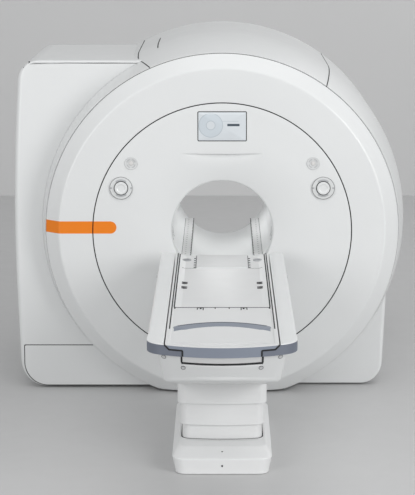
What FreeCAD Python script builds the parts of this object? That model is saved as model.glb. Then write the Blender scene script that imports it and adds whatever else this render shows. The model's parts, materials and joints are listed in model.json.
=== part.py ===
import FreeCAD, Part
import math
import os
from FreeCAD import Vector

# A magnetic resonance scanner with a horizontal bore, its left equipment cabinet, its right skirt
# and the patient table fixed in front of it. Millimetres, +Z up. The origin is on the floor under
# the middle of the magnet, +X is to the right seen from the table, and +Y runs into the bore.
# Depths are measured along +Y from the front plane, and drops downwards from the bore axis.

# ---- driving dimensions -------------------------------------------------------------------

# Fits
touch = 0.3                  # gap left between pieces that sit on each other
running_gap = 0.05           # radial gap of a turning fit
seam = 3.0                   # open joint between two covers

# Bore and covers
bore_radius = 300.0
gantry_length = 1560.0
shell_radius = 1131.0
cover_wall = 6.0
floor_gap = 12.0             # covers end this far above the floor
flare_rise = 74.0            # the shell widens by this much
shell_flare_depth = 700.0    # until this depth
chamfer_width = 89.0         # front ring's bevelled edge
ring_edge_depth = 73.0
ring_flat_width = 203.0
ring_gap = 6.0               # dark joint between disc and ring
dish_margin = 185.0          # flat border of the disc, inside it the disc curves to the bore
dish_depth = 44.0
lip_length = 22.0
rear_rim = 60.0              # depth of the rear cover's rim
cowl_left_angle = -27.0      # ends of the top cowl, clockwise from the top, in degrees
cowl_right_angle = 35.5
cowl_kink_depth = 355.0      # the cowl's left end steps inwards in front of this depth
cowl_kink_width = 76.0

# Magnet
magnet_space = 201.0         # from the magnet to the shell
magnet_clearance = 70.0      # from the magnet to the floor
magnet_end_space = 130.0     # from the magnet's ends to the front and rear planes
vessel_wall = 12.0
vacuum_space = 20.0
cold_wall = 6.0
liner_wall = 6.0
body_coil_wall = 33.0
coil_gap = 0.5
gradient_wall = 90.0
gradient_space = 12.0
main_coil_height = 80.0
anchor_spacing_x = 680.0
anchor_end_space = 320.0     # from the anchors to the front and rear planes
anchor_hole_radius = 14.0
foot_width = 160.0
foot_depth = 240.0
foot_thickness = 25.0
turret_radius = 130.0
cold_head_space = 400.0      # from the cold head to the rear plane

# Cabinet and skirt
cabinet_rise = 990.0         # top above the bore axis
cabinet_space = 140.4        # from the shell to the corner that the side's long arc rounds off
cabinet_waist_arc = 12000.0
cabinet_waist_rise = 150.0
cabinet_base_lean = 45.4     # the side leans in by this much towards the floor
cabinet_top_lean = 49.4      # and by this much towards the top
cabinet_front_base = 150.0   # depth of the leaning front, at the floor and at the top
cabinet_front_top = 275.0
cabinet_back_space = 180.0   # from the back of cabinet and skirt to the rear plane
cabinet_wall = 4.0
lid_height = 15.0
kick_height = 250.0
kick_inset = 21.0
skirt_inset = 128.0          # right skirt's side inside the shell's widest point
skirt_drop = 380.0
skirt_front = 212.0
frame_tube = 40.0

# Controls on the disc
display_width = 289.0
display_height = 176.0
display_margin = 134.4       # from the disc's edge to the display's centre
control_margin = 112.0       # from the disc's edge to the control unit's centre
control_angle = 66.1         # clockwise from the top
control_radius = 68.5
knob_radius = 38.0
key_travel = 2.0
stop_margin = 89.2
stop_angle = 52.5
stop_radius = 38.0
stop_button_radius = 13.0

# Patient table
rim_drop = 105.0             # tabletop rim below the axis
tabletop_drop = 150.0        # underside of the tabletop below the axis
bore_side_clearance = 11.0   # between the tabletop's rim and the bore
rail_width = 56.0
side_cover_width = 90.0      # from the tabletop to the table's outer side
table_foot = -2291.0         # depth of the foot end
table_head = -115.0
foot_bow = 0.4286            # slope of the foot end's sides in plan
tabletop_split = -1464.0     # depth where the tabletop's end section begins
socket_x = 205.0
socket_radius = 26.0
lift_travel = 300.0
band_height = 53.0
nose_lip_drop = 195.0
nose_wall = 30.0
cover_overhang = 48.0        # side covers stand out over the table body
body_side_slope = 0.159      # the body's sides lean inwards by this much per unit of height
body_foot_slope = 0.70
body_floor_drop = 567.0      # underside of the table body below the axis, raised
body_foot_drop = 305.0       # underside at the foot end
sleeve_front = -1296.0
sleeve_rear = -640.0
sleeve_half_width = 237.0
sleeve_step = 12.0           # each sleeve is this much smaller than the next
sleeve_wall = 5.0
sleeve_bow = 22.0            # the middle of the front and rear stands out by this much in plan
sleeve_corner_radius = 46.0
middle_sleeve_follows = 0.2567   # share of the table's lift
outer_sleeve_follows = 0.65
sleeve_overlap = 0.23            # of the lift, between two sleeves at the lift's top
base_front = -1503.0
base_rear = -460.0
base_half_width = 262.0
base_ridge_height = 88.0
base_height = 122.0
base_plate_thickness = 15.0
base_anchor_spacing_x = 380.0
base_anchor_spacing_y = 880.0
base_anchor_hole_radius = 9.0

# ---- worked out from them -----------------------------------------------------------------

front_y = -gantry_length / 2
magnet_radius = shell_radius - magnet_space
anchor_spacing_y = gantry_length - 2 * anchor_end_space
axis_height = magnet_radius + magnet_clearance
ring_edge_radius = shell_radius - flare_rise
ring_flat_radius = ring_edge_radius - chamfer_width
disc_radius = ring_flat_radius - ring_flat_width
dish_radius = disc_radius - dish_margin
liner_radius = bore_radius + liner_wall
gradient_inner = liner_radius + body_coil_wall + 2 * coil_gap
gradient_outer = gradient_inner + gradient_wall
vessel_bore = gradient_outer + gradient_space
shell_end_depth = gantry_length - rear_rim
flare_run = shell_flare_depth - ring_edge_depth
flare_radius = (flare_run ** 2 + flare_rise ** 2) / (2 * flare_rise)

cabinet_back = gantry_length - cabinet_back_space
cabinet_height = axis_height + cabinet_rise
cabinet_waist_height = axis_height + cabinet_waist_rise
cabinet_waist_x = -(shell_radius + cabinet_space)
cabinet_base_x = cabinet_waist_x + cabinet_base_lean
cabinet_top_x = cabinet_waist_x + cabinet_top_lean
skirt_x = shell_radius - skirt_inset

display_rise = disc_radius - display_margin
control_x = (disc_radius - control_margin) * math.sin(math.radians(control_angle))
control_rise = (disc_radius - control_margin) * math.cos(math.radians(control_angle))
stop_x = (disc_radius - stop_margin) * math.sin(math.radians(stop_angle))
stop_rise = (disc_radius - stop_margin) * math.cos(math.radians(stop_angle))

rail_drop = tabletop_drop + 1
tabletop_half_width = math.sqrt(bore_radius ** 2 - rim_drop ** 2) - bore_side_clearance
rail_outer = math.sqrt(bore_radius ** 2 - rail_drop ** 2) - 17
rail_inner = rail_outer - rail_width
tabletop_floor_half_width = rail_outer - 10
table_half_width = tabletop_half_width + side_cover_width
body_half_width = table_half_width - cover_overhang
nose_half_width = rail_inner + 4
table_rail_inner = nose_half_width + 8
band_bottom_drop = rim_drop + band_height
beam_drop = nose_lip_drop + 59          # top of the cross beams
body_floor_height = axis_height - body_floor_drop
body_foot_height = axis_height - body_foot_drop
column_depth = (sleeve_front + sleeve_rear) / 2
table_frame_foot = table_foot + 250
frame_side_out = body_half_width - 36


# ---- helpers ------------------------------------------------------------------------------

def at(depth):
    """Y of a depth behind the front plane."""
    return front_y + depth


def level(drop):
    """Z of a drop below the bore axis; a negative drop is above it."""
    return axis_height - drop


def outline(points, place):
    """Closed wire through flat points (a, b). A third number rounds that corner with its radius.

    place turns a flat point into a point in space.
    """
    corners = []
    for index, point in enumerate(points):
        here = Vector(point[0], point[1], 0)
        if len(point) == 2:
            corners.append((here, None, here))
            continue
        last = points[index - 1]
        following = points[(index + 1) % len(points)]
        back = (Vector(last[0], last[1], 0) - here).normalize()
        ahead = (Vector(following[0], following[1], 0) - here).normalize()
        half = back.getAngle(ahead) / 2
        reach = point[2] / math.tan(half)
        inwards = (back + ahead).normalize() * (point[2] / math.sin(half) - point[2])
        corners.append((here + back * reach, here + inwards, here + ahead * reach))
    edges = []
    for index, (start, middle, end) in enumerate(corners):
        if middle is not None:
            arc = Part.Arc(place(start), place(middle), place(end))
            edges.append(arc.toShape())
        next_start = corners[(index + 1) % len(corners)][0]
        if end.distanceToPoint(next_start) > 1e-4:
            edges.append(Part.makeLine(place(end), place(next_start)))
    return Part.Wire(edges)


def turned(points, x=0.0, rise=0.0):
    """Solid of revolution about a line along Y, from (radius, depth) points."""
    centre = Vector(x, 0, axis_height + rise)
    wire = outline(points, lambda p: Vector(x + p.x, at(p.y), centre.z))
    return Part.Face(wire).revolve(centre, Vector(0, 1, 0), 360)


def prism_y(points, depth_a, depth_b):
    """Outline of (x, z) points carried along Y."""
    wire = outline(points, lambda p: Vector(p.x, at(depth_a), p.y))
    return Part.Face(wire).extrude(Vector(0, depth_b - depth_a, 0))


def prism_x(points, x_a, x_b):
    """Outline of (depth, z) points carried along X."""
    wire = outline(points, lambda p: Vector(x_a, at(p.x), p.y))
    return Part.Face(wire).extrude(Vector(x_b - x_a, 0, 0))


def prism_z(points, z_a, z_b):
    """Outline of (x, depth) points carried along Z."""
    wire = outline(points, lambda p: Vector(p.x, at(p.y), z_a))
    return Part.Face(wire).extrude(Vector(0, 0, z_b - z_a))


def block(x_a, x_b, depth_a, depth_b, z_a, z_b):
    corner = Vector(x_a, at(depth_a), z_a)
    return Part.makeBox(x_b - x_a, depth_b - depth_a, z_b - z_a, corner)


def rod_x(radius, x_a, x_b, depth, z):
    return Part.makeCylinder(radius, x_b - x_a, Vector(x_a, at(depth), z), Vector(1, 0, 0))


def rod_y(radius, depth_a, depth_b, x, z):
    return Part.makeCylinder(radius, depth_b - depth_a, Vector(x, at(depth_a), z), Vector(0, 1, 0))


def rod_z(radius, x, depth, z_a, z_b):
    return Part.makeCylinder(radius, z_b - z_a, Vector(x, at(depth), z_a))


def ring(inner, outer, depth_a, depth_b):
    """Tube about the bore axis."""
    solid = rod_y(outer, depth_a, depth_b, 0, axis_height)
    return solid.cut(rod_y(inner, depth_a - 1, depth_b + 1, 0, axis_height))


def drum(inner, outer, depth_a, depth_b, wall):
    """Closed can with a bore through it: two tubes joined by two end plates."""
    cavity = ring(inner + wall, outer - wall, depth_a + wall, depth_b - wall)
    return ring(inner, outer, depth_a, depth_b).cut(cavity)


def around(angle, radius):
    """X and Z at an angle clockwise from the top of the bore axis, in degrees."""
    turn = math.radians(angle)
    return radius * math.sin(turn), axis_height + radius * math.cos(turn)


def sector(angle_a, angle_b):
    """Pie slice about the bore axis over the whole gantry, between two angles in degrees."""
    far = 3 * shell_radius
    middle = (angle_a + angle_b) / 2
    corners = [(0, axis_height), around(angle_a, far), around(middle, far), around(angle_b, far)]
    return prism_y(corners, -100, gantry_length + 100)


def above(height):
    """Everything above a height, as a large block."""
    side = 4 * shell_radius
    return block(-side, side, 2 * table_foot, 2 * gantry_length, height, height + side)


def mirrored(shape):
    """The same piece on the other side of the scanner."""
    return shape.mirror(Vector(0, 0, 0), Vector(1, 0, 0))


def joined(shapes):
    return shapes[0].fuse(shapes[1:]).removeSplitter()


def both(shape):
    """A right piece and its mirror image on the left, as one group."""
    return Part.makeCompound([shape, mirrored(shape)])


# ---- magnet -------------------------------------------------------------------------------

def shell_outer(depth):
    """Outer radius of the side shell at a depth."""
    run = max(0.0, shell_flare_depth - depth)
    return shell_radius - flare_radius + math.sqrt(flare_radius ** 2 - run ** 2)


def suspension_rods(inner, outer, rod_radius):
    """Eight rods that hold the cold vessel inside the vacuum vessel."""
    rods = []
    for depth in (magnet_end_space + 250, gantry_length - magnet_end_space - 250):
        for angle in (45, 135, 225, 315):
            x, z = around(angle, inner)
            out = Vector(x, 0, z - axis_height).normalize()
            rods.append(Part.makeCylinder(rod_radius, outer - inner, Vector(x, at(depth), z), out))
    return rods


def magnet():
    front = magnet_end_space
    back = gantry_length - magnet_end_space
    shield_step = vessel_wall + vacuum_space
    cold_step = shield_step + cold_wall + vacuum_space
    cold_inner = vessel_bore + cold_step
    cold_outer = magnet_radius - cold_step
    vessel = drum(vessel_bore, magnet_radius, front, back, vessel_wall)
    shield = drum(vessel_bore + shield_step, magnet_radius - shield_step,
                  front + shield_step, back - shield_step, cold_wall)
    cold_vessel = drum(cold_inner, cold_outer, front + cold_step, back - cold_step, cold_wall)
    rods = suspension_rods(cold_outer, magnet_radius - vessel_wall - 0.1, 10)
    for hole in suspension_rods(cold_outer, magnet_radius - vessel_wall, 10 + touch):
        shield = shield.cut(hole)
    coil_inner = cold_inner + cold_wall + touch
    span = (back - front) / 2 - cold_step - cold_wall
    middle = gantry_length / 2
    coils = []
    for centre, width in ((0.16, 0.16), (0.47, 0.2), (0.84, 0.26)):
        for side in (-1, 1):
            start = middle + side * centre * span - width * span / 2
            end = start + width * span
            coils.append(ring(coil_inner, coil_inner + main_coil_height, start, end))
    return {"magnet_vessel": vessel, "thermal_shield": shield, "helium_vessel": cold_vessel,
            "suspension_rods": Part.makeCompound(rods), "main_coils": Part.makeCompound(coils)}


def bore_stack():
    """Gradient coil, body coil, liner and the mounts that centre the gradient coil."""
    front = magnet_end_space
    back = gantry_length - magnet_end_space
    liner_start = dish_depth + lip_length + 0.5
    liner = ring(bore_radius, liner_radius, liner_start, gantry_length - liner_start)
    body_inner = liner_radius + coil_gap
    body_coil = ring(body_inner, body_inner + body_coil_wall, front - 20, back + 20)
    gradient = ring(gradient_inner, gradient_outer, front, back)
    mounts = []
    for depth in (front + 80, back - 180):
        band = ring(gradient_outer + touch, vessel_bore - touch, depth, depth + 100)
        for angle in (0, 90, 180, 270):
            mounts.append(band.common(sector(angle - 12, angle + 12)))
    return {"bore_liner": liner, "body_coil": body_coil, "gradient_coil": gradient,
            "gradient_mounts": Part.makeCompound(mounts)}


def bore_rails():
    """Flat rail and sloping ledge on each side of the bore floor."""
    start = dish_depth + lip_length + 1
    end = 0.805 * gantry_length
    wall = rod_y(bore_radius - touch, start, end, 0, axis_height)
    deep = level(2 * bore_radius)
    rail = prism_y([(rail_inner, deep), (rail_outer, deep), (rail_outer, level(rail_drop)),
                    (rail_inner, level(rail_drop))], start, end)
    ledge_x = rail_outer + touch
    ledge_rise = 63
    ledge_run = 46
    ledge = prism_y([(ledge_x, deep), (2 * bore_radius, deep),
                     (ledge_x + 2 * ledge_run, level(rail_drop - 2 * ledge_rise)),
                     (ledge_x, level(rail_drop))], start, end)
    return {"bore_rails": both(rail.common(wall)), "bore_ledges": both(ledge.common(wall))}


def magnet_feet():
    """Four feet: an anchor plate with one hole, and two gussets cut to the magnet's curve."""
    drum_shape = rod_y(magnet_radius + touch, 0, gantry_length, 0, axis_height)
    feet = []
    for side_x in (-1, 1):
        for side_y in (-1, 1):
            x = side_x * anchor_spacing_x / 2
            depth = gantry_length / 2 + side_y * anchor_spacing_y / 2
            left, right = x - foot_width / 2, x + foot_width / 2
            plate = block(left, right, depth - foot_depth / 2, depth + foot_depth / 2,
                          0, foot_thickness)
            gussets = [block(left, right, depth + shift, depth + shift + 20, 0, level(magnet_radius / 2))
                       for shift in (-80, 60)]
            foot = joined([plate] + gussets)
            foot = foot.cut(rod_z(anchor_hole_radius, x, depth, -1, foot_thickness + 1))
            feet.append(foot.cut(drum_shape))
    return {"magnet_feet": Part.makeCompound(feet)}


def top_services():
    """Service turret with its quench valve on top of the magnet, and its cold head."""
    middle = gantry_length / 2
    top = level(-(shell_radius - cover_wall - 20))
    drum_shape = rod_y(magnet_radius + touch, 0, gantry_length, 0, axis_height)
    turret = rod_z(turret_radius, 0, middle, axis_height, top).cut(drum_shape)
    valve_end = middle - turret_radius - 90
    head_z = (top + level(-magnet_radius)) / 2
    head_end = gantry_length - cold_head_space
    head = joined([rod_y(60, middle, head_end - 110, 0, head_z),
                   rod_y(42, head_end - 110, head_end, 0, head_z)])
    turret = joined([turret, rod_y(38, valve_end, middle, 0, head_z),
                     rod_y(55, valve_end, valve_end + 20, 0, head_z)])
    return {"service_turret": turret, "cold_head": head.cut(turret)}


# ---- covers -------------------------------------------------------------------------------

def cover_frame():
    """Mounting ring behind the front covers, on twelve posts from the magnet's end."""
    face = cover_wall + touch
    plate = ring(disc_radius - 25, magnet_radius, face, face + 10)
    posts = [rod_y(12, face + 5, magnet_end_space, *around(angle, 0.915 * magnet_radius))
             for angle in range(15, 375, 30)]
    return joined([plate] + posts)


def cover_hoops():
    """Two hoops round the magnet, which carry the side shells and the cowl."""
    hoops = []
    for depth in (360, gantry_length - 360):
        outer = min(shell_outer(depth), shell_outer(depth + 8)) - cover_wall - touch
        hoop = ring(magnet_radius + touch, outer, depth, depth + 8)
        hoops.append(hoop.common(above(foot_thickness + touch)))
    return hoops


def shell_profile(grow, wall):
    """Profile of the side shell, grown outwards, with a wall or solid to the axis."""
    corner_depth = shell_flare_depth - flare_radius * math.tan(math.atan2(flare_rise, flare_run))
    start = ring_edge_depth + seam
    edge = shell_outer(start) + grow
    full = shell_radius + grow
    end = shell_end_depth
    radius = 0.98 * flare_radius
    outer = [(edge, start), (full, corner_depth, radius), (full, end)]
    if wall is None:
        return [(0, start)] + outer + [(0, end)]
    inner = [(full - wall, end), (full - wall, corner_depth, radius), (edge - wall, start)]
    return outer + inner


def gantry_body():
    """Everything inside the side shell's outer surface, with a small gap round it."""
    body = turned(shell_profile(0.5, None))
    return body.fuse(rod_y(shell_outer(0) + 0.5, 0, ring_edge_depth + seam + 1, 0, axis_height))


def front_disc():
    wall = cover_wall
    corner = (dish_radius + bore_radius) / 2
    half_turn = math.atan2(dish_depth, corner - bore_radius) / 2
    dish_arc = 0.97 * (dish_radius - corner) / math.tan(half_turn)
    lip = dish_depth + lip_length
    profile = [(disc_radius, 0, 2), (corner, 0, dish_arc), (bore_radius, dish_depth, 14),
               (bore_radius, lip), (liner_radius, lip), (bore_radius + wall, dish_depth + wall, 8),
               (corner, wall, dish_arc), (disc_radius, wall)]
    disc = turned(profile)
    half = display_width / 2
    window = prism_y([(-half, level(-display_rise) - display_height / 2, 6),
                      (half, level(-display_rise) - display_height / 2, 6),
                      (half, level(-display_rise) + display_height / 2, 6),
                      (-half, level(-display_rise) + display_height / 2, 6)], -10, 40)
    disc = disc.cut(window)
    for side in (-1, 1):
        disc = disc.cut(rod_y(control_radius - 8.5, -10, 40, side * control_x, level(-control_rise)))
        disc = disc.cut(rod_y(stop_radius - 7.5, -10, 40, side * stop_x, level(-stop_rise)))
    return disc


def front_ring():
    inner = disc_radius + ring_gap
    wall = cover_wall
    profile = [(inner, 0, 2), (ring_flat_radius, 0, 70), (ring_edge_radius, ring_edge_depth),
               (ring_edge_radius - wall, ring_edge_depth + 1),
               (ring_flat_radius - 2, wall, 64), (inner, wall)]
    return turned(profile).common(above(floor_gap))


def rear_cover():
    """Rear face with its own rim and a flared mouth round the bore."""
    wall = cover_wall
    back = gantry_length
    lip = gantry_length - dish_depth - lip_length
    start = shell_end_depth + seam
    profile = [(shell_radius, start), (shell_radius, back, 45), (bore_radius, back, 40),
               (bore_radius, lip), (liner_radius, lip), (liner_radius, back - wall, 34),
               (shell_radius - wall, back - wall, 39), (shell_radius - wall, start)]
    return turned(profile).common(above(floor_gap))


def cowl_zone(gap):
    """The space of the top cowl, grown by a gap at its two ends."""
    turn = math.degrees(gap / shell_radius)
    zone = sector(cowl_left_angle - turn, cowl_right_angle + turn)
    x, z = around(cowl_left_angle, 0.8 * shell_radius)
    outwards = Vector(x, 0, z - axis_height).normalize()
    sideways = Vector(outwards.z, 0, -outwards.x)
    start = Vector(x, at(cowl_kink_depth), z) - sideways * gap
    width = cowl_kink_width
    corners = [start, start + Vector(0, -cowl_kink_depth - 50, 0) - sideways * width,
               start + Vector(0, -cowl_kink_depth - 50, 0) + sideways * width * 1.18]
    corners.append(corners[0])
    kink = Part.Face(Part.makePolygon(corners)).extrude(outwards * 0.5 * shell_radius)
    return zone.cut(kink)


def side_shells():
    shell = turned(shell_profile(0, cover_wall)).common(above(floor_gap))
    shell_only = shell.cut(cowl_zone(seam))
    far = 2 * shell_radius
    left = block(-far, 0, 0, gantry_length, 0, 2 * far)
    right = block(0, far, 0, gantry_length, 0, 2 * far)
    return {"top_cowl": shell.common(cowl_zone(0)),
            "side_shell_left": shell_only.common(left),
            "side_shell_right": shell_only.common(right)}


def covers():
    frame = cover_frame()
    rear_frame = frame.mirror(Vector(0, 0, 0), Vector(0, 1, 0))
    nodes = {"cover_frames": Part.makeCompound([frame, rear_frame] + cover_hoops()),
             "front_disc_cover": front_disc(),
             "front_ring_cover": front_ring(), "rear_cover": rear_cover()}
    nodes.update(side_shells())
    return nodes


# ---- cabinet and skirt --------------------------------------------------------------------

def cabinet_solid(inset):
    """The cabinet's outer form, or the same form moved inwards by a wall."""
    bottom = floor_gap + inset
    top = cabinet_height - inset
    front_view = [(cabinet_base_x + inset, bottom, 160 - inset),
                  (-0.3 * shell_radius, bottom), (-0.3 * shell_radius, top),
                  (cabinet_top_x + inset, top, 130 - inset),
                  (cabinet_waist_x + inset, cabinet_waist_height, cabinet_waist_arc)]
    side_view = [(cabinet_front_base + inset, bottom), (cabinet_back - inset, bottom),
                 (cabinet_back - inset, top, 25 - inset),
                 (cabinet_front_top + inset, top, 25 - inset)]
    whole = prism_y(front_view, 0, gantry_length)
    return whole.common(prism_x(side_view, -2 * shell_radius, 0))


def kick_outline(grow):
    """Front view of the kick panel, running on behind the gantry's edge."""
    left = cabinet_base_x + kick_inset - grow
    bottom = floor_gap + 6 - grow
    top = floor_gap + kick_height + grow
    shape = [(left, bottom, 140 + grow), (-0.3 * shell_radius, bottom),
             (-0.3 * shell_radius, top), (left, top, 6)]
    return prism_y(shape, 0, cabinet_front_top)


def cabinet(body):
    skin = cabinet_solid(0).cut(cabinet_solid(cabinet_wall)).cut(body)
    lid_bottom = cabinet_height - lid_height
    front_only = block(-2 * shell_radius, 0, 0, cabinet_front_base + 25, 0, cabinet_height)
    cover = skin.cut(above(lid_bottom - seam))
    cover = cover.cut(kick_outline(seam).common(front_only))
    cover = cover.cut(block(cabinet_base_x + 161, 0, cabinet_front_base + 20, cabinet_back - 10,
                            0, floor_gap + 2 * cabinet_wall))
    nodes = {"cabinet_cover": cover, "cabinet_lid": skin.common(above(lid_bottom)),
             "kick_panel": skin.common(kick_outline(0)).common(front_only)}
    nodes.update(cabinet_frame())
    return nodes


def gantry_half_width(height):
    """Half width of the gantry's widest part at a height above the floor."""
    return math.sqrt(shell_radius ** 2 - (height - axis_height) ** 2)


def cabinet_frame():
    """Welded tube frame inside the cabinet, and the power unit that stands in it."""
    tube = frame_tube
    left = cabinet_base_x + 36
    front = cabinet_front_top + 60
    back = cabinet_back - cabinet_wall - 60
    low, high = 90.0, cabinet_height - 130
    right = -gantry_half_width(high) - 69
    middle_post = (left + right) / 2
    lid_seat = cabinet_height - cabinet_wall - touch
    bars = []
    for depth in (front, back - tube):
        behind = depth + tube
        bars.append(block(left, left + tube, depth, behind, low, high + tube))
        bars.append(block(left, right, depth, behind, low, low + tube))
        bars.append(block(left, right, depth, behind, high, high + tube))
        for x in (cabinet_base_x + 166, right - tube):
            bars.append(block(x, x + tube, depth, behind, 0, low))
        bars.append(block(middle_post, middle_post + tube, depth, behind, high, lid_seat))
    for height in (low, cabinet_waist_height, high):
        bars.append(block(left, left + tube, front, back, height, height + tube))
    unit_top = low + tube + 0.23 * axis_height
    shelf_left, shelf_right = left + tube, -gantry_half_width(unit_top) - 8
    for depth in (front + 200, back - 200 - tube):
        bars.append(block(left, shelf_right, depth, depth + tube, low, low + tube))
    bars.append(block(shelf_right - tube, shelf_right, front, back, low, low + tube))
    unit = block(shelf_left + 10, shelf_right - 20, front + 60, back - 60,
                 low + tube + touch, unit_top)
    return {"cabinet_frame": joined(bars), "power_unit": unit}


def right_skirt(body):
    def form(inset):
        bottom = floor_gap + inset
        shape = [(0.3 * shell_radius, bottom), (skirt_x - 25 - inset, bottom, 130 - inset),
                 (skirt_x - inset, level(skirt_drop)), (0.3 * shell_radius, level(skirt_drop))]
        return prism_y(shape, skirt_front + inset, cabinet_back - inset)
    return {"right_skirt": form(0).cut(form(cabinet_wall)).cut(body)}


# ---- controls on the disc -----------------------------------------------------------------

def display():
    half = display_width / 2 - 2.5
    low = level(-display_rise) - display_height / 2 + 2.5
    high = level(-display_rise) + display_height / 2 - 2.5
    box = prism_y([(-half, low, 4), (half, low, 4), (half, high, 4), (-half, high, 4)], 1, 42)
    ring_back = cover_wall + touch + 10
    tab = block(-50, 50, ring_back + touch, ring_back + touch + 4, high - 30, level(-disc_radius) + 30)
    edge = 3.0
    screen = prism_y([(-half + edge, low + edge, 3), (half - edge, low + edge, 3),
                      (half - edge, high - edge, 3), (-half + edge, high - edge, 3)], -1, 1)
    return {"display_housing": joined([box, tab]), "display_screen": screen}


def band_piece(x, rise, radii, angle, half_span, depth_a, depth_b):
    """Piece of a flat ring round a line along Y, about an angle clockwise from the top."""
    inner, outer = radii
    start, middle, end = (math.radians(angle + shift) for shift in (-half_span, 0, half_span))

    def place(radius, turn):
        z = axis_height + rise + radius * math.cos(turn)
        return Vector(x + radius * math.sin(turn), at(depth_a), z)
    wire = Part.Wire([
        Part.Arc(place(inner, start), place(inner, middle), place(inner, end)).toShape(),
        Part.makeLine(place(inner, end), place(outer, end)),
        Part.Arc(place(outer, end), place(outer, middle), place(outer, start)).toShape(),
        Part.makeLine(place(outer, start), place(inner, start))])
    return Part.Face(wire).extrude(Vector(0, depth_b - depth_a, 0))


def control_unit():
    """Right control unit: bezel with an axle, turning knob and two arc keys."""
    x, rise = control_x, control_rise
    axle = 8 - running_gap
    edge = control_radius
    face = -8.5                  # the bezel's front, with a shallow well for each key
    well = face + 4 + key_travel
    bezel = turned([(0, -12), (axle, -12), (axle, -3), (knob_radius + 1, -3),
                    (knob_radius + 1, face), (edge - 3, face), (edge, -6), (edge, -touch),
                    (edge - 9, -touch), (edge - 9, 12), (0, 12)], x, rise)
    knob = turned([(8, -4), (knob_radius, -4), (knob_radius, -16), (knob_radius - 3, -20),
                   (knob_radius - 12, -20), (knob_radius - 18, -17), (0, -16), (0, -12.5),
                   (8, -12.5)], x, rise)
    key_radii = (knob_radius + 4.5, knob_radius + 14)
    well_radii = (key_radii[0] - touch, key_radii[1] + touch)
    for angle in (0, 180):
        bezel = bezel.cut(band_piece(x, rise, well_radii, angle, 38.5, face - 1, well))
    nodes = {"control_bezel": bezel, "control_knob": knob}
    for name, angle in (("upper_key", 0), ("lower_key", 180)):
        nodes[name] = band_piece(x, rise, key_radii, angle, 38, face - 1.5, face + 3.5)
    return nodes


def stop_unit():
    """Right stop unit: dished bezel and its push button."""
    hole = stop_button_radius + 0.4
    edge = stop_radius
    bezel = turned([(hole, -1.5), (edge - 9, -3.5), (edge - 2, -5), (edge, -3), (edge, -touch),
                    (edge - 8, -touch), (edge - 8, 12), (0, 12), (0, 7), (hole, 7)],
                   stop_x, stop_rise)
    button = turned([(0, -6.5), (stop_button_radius - 3, -6), (stop_button_radius, -4),
                     (stop_button_radius, 3), (0, 3)], stop_x, stop_rise)
    return {"stop_bezel": bezel, "stop_button": button}


def controls():
    """Both sides' control and stop units; the fixed bezels are grouped."""
    nodes = {}
    units = dict(control_unit(), **stop_unit())
    for name, shape in units.items():
        if name.endswith("bezel"):
            nodes[name + "s"] = both(shape)
        else:
            nodes[name + "_right"] = shape
            nodes[name + "_left"] = mirrored(shape)
    return nodes


# ---- patient table ------------------------------------------------------------------------

def foot_plan(half_width, foot, head):
    """Plan points of the table: straight sides, rounded corners and a bowed foot end."""
    apex = foot - half_width * foot_bow * 0.39
    corner = apex + half_width * foot_bow
    radius = 0.3 * half_width
    bow_radius = 0.74 * half_width / math.sin(math.atan(foot_bow))
    return [(-half_width, head), (-half_width, corner, radius), (0, apex, bow_radius),
            (half_width, corner, radius), (half_width, head)]


def table_plan(half_width, foot, head, z_a, z_b):
    return prism_z(foot_plan(half_width, foot, head), z_a, z_b)


def nose_outline(grow):
    """Front view of the tabletop's end, where it interrupts the foot of the table."""
    half = nose_half_width + grow
    shoulder = half - 5
    right = [(half, level(nose_lip_drop + grow)), (half, level(band_bottom_drop + 1)),
             (shoulder, level(band_bottom_drop - 1)), (shoulder, level(rim_drop + 21 + grow)),
             (tabletop_half_width - 21 + grow, level(rim_drop + 21 + grow)),
             (tabletop_half_width + grow, level(rim_drop)),
             (tabletop_half_width + grow, level(rim_drop - 20))]
    left = [(-x, z) for x, z in reversed(right)]
    return prism_y(right + left, 2 * table_foot, nose_wall)


def body_form(inset):
    """Outer form of the table body under the side covers, or the same form moved inwards."""
    top = level(band_bottom_drop)
    floor_z = body_floor_height + inset
    fall = top - floor_z
    wires = []
    for drop in (fall, 0):
        half = body_half_width - inset - body_side_slope * drop
        foot = table_foot + 12 + inset + body_foot_slope * drop
        head = table_head - 15 - inset
        plan = foot_plan(half, foot, head)
        wires.append(outline(plan, lambda p, z=top - drop: Vector(p.x, at(p.y), z)))
    tub = Part.makeLoft(wires, True, True)
    knee = sleeve_front - 14
    foot_edge = table_foot + 12 + body_foot_slope * (top - body_foot_height)
    slope = (body_foot_height - body_floor_height) / (knee - foot_edge)
    start = table_foot - 40
    side_view = [(start, floor_z + slope * (knee - start)),
                 (knee, floor_z, 150), (sleeve_rear + 40, floor_z, 150),
                 (table_head, floor_z + 0.62 * (body_foot_height - body_floor_height)),
                 (table_head, top + 1), (start, top + 1)]
    return tub.common(prism_x(side_view, -table_half_width, table_half_width))


def sleeve_plan(half_width, front, rear, z_a, z_b):
    """Telescopic sleeve's plan form, slightly bowed at the front and rear."""
    corner = sleeve_corner_radius
    apex = 0.42 * sleeve_bow
    arc_radius = 0.7 * half_width ** 2 / (sleeve_bow + apex)
    near, far = front + sleeve_bow, rear - sleeve_bow
    shape = [(-half_width, near, corner), (0, front - apex, arc_radius), (half_width, near, corner),
             (half_width, far, corner), (0, rear + apex, arc_radius), (-half_width, far, corner)]
    return prism_z(shape, z_a, z_b)


def sleeve(order, z_a, z_b, lip):
    """One of the three sleeves, order 0 is the outermost. lip is a guiding edge at the top."""
    step = order * sleeve_step
    half, front, rear = sleeve_half_width - step, sleeve_front + step, sleeve_rear - step
    skin = sleeve_plan(half, front, rear, z_a, z_b)
    if lip:
        reach = sleeve_step - sleeve_wall - 2 * touch
        skin = skin.fuse(sleeve_plan(half + reach, front - reach, rear + reach, z_b - lip, z_b))
    wall = sleeve_wall
    return skin.cut(sleeve_plan(half - wall, front + wall, rear - wall, z_a - 1, z_b + 1))


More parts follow.
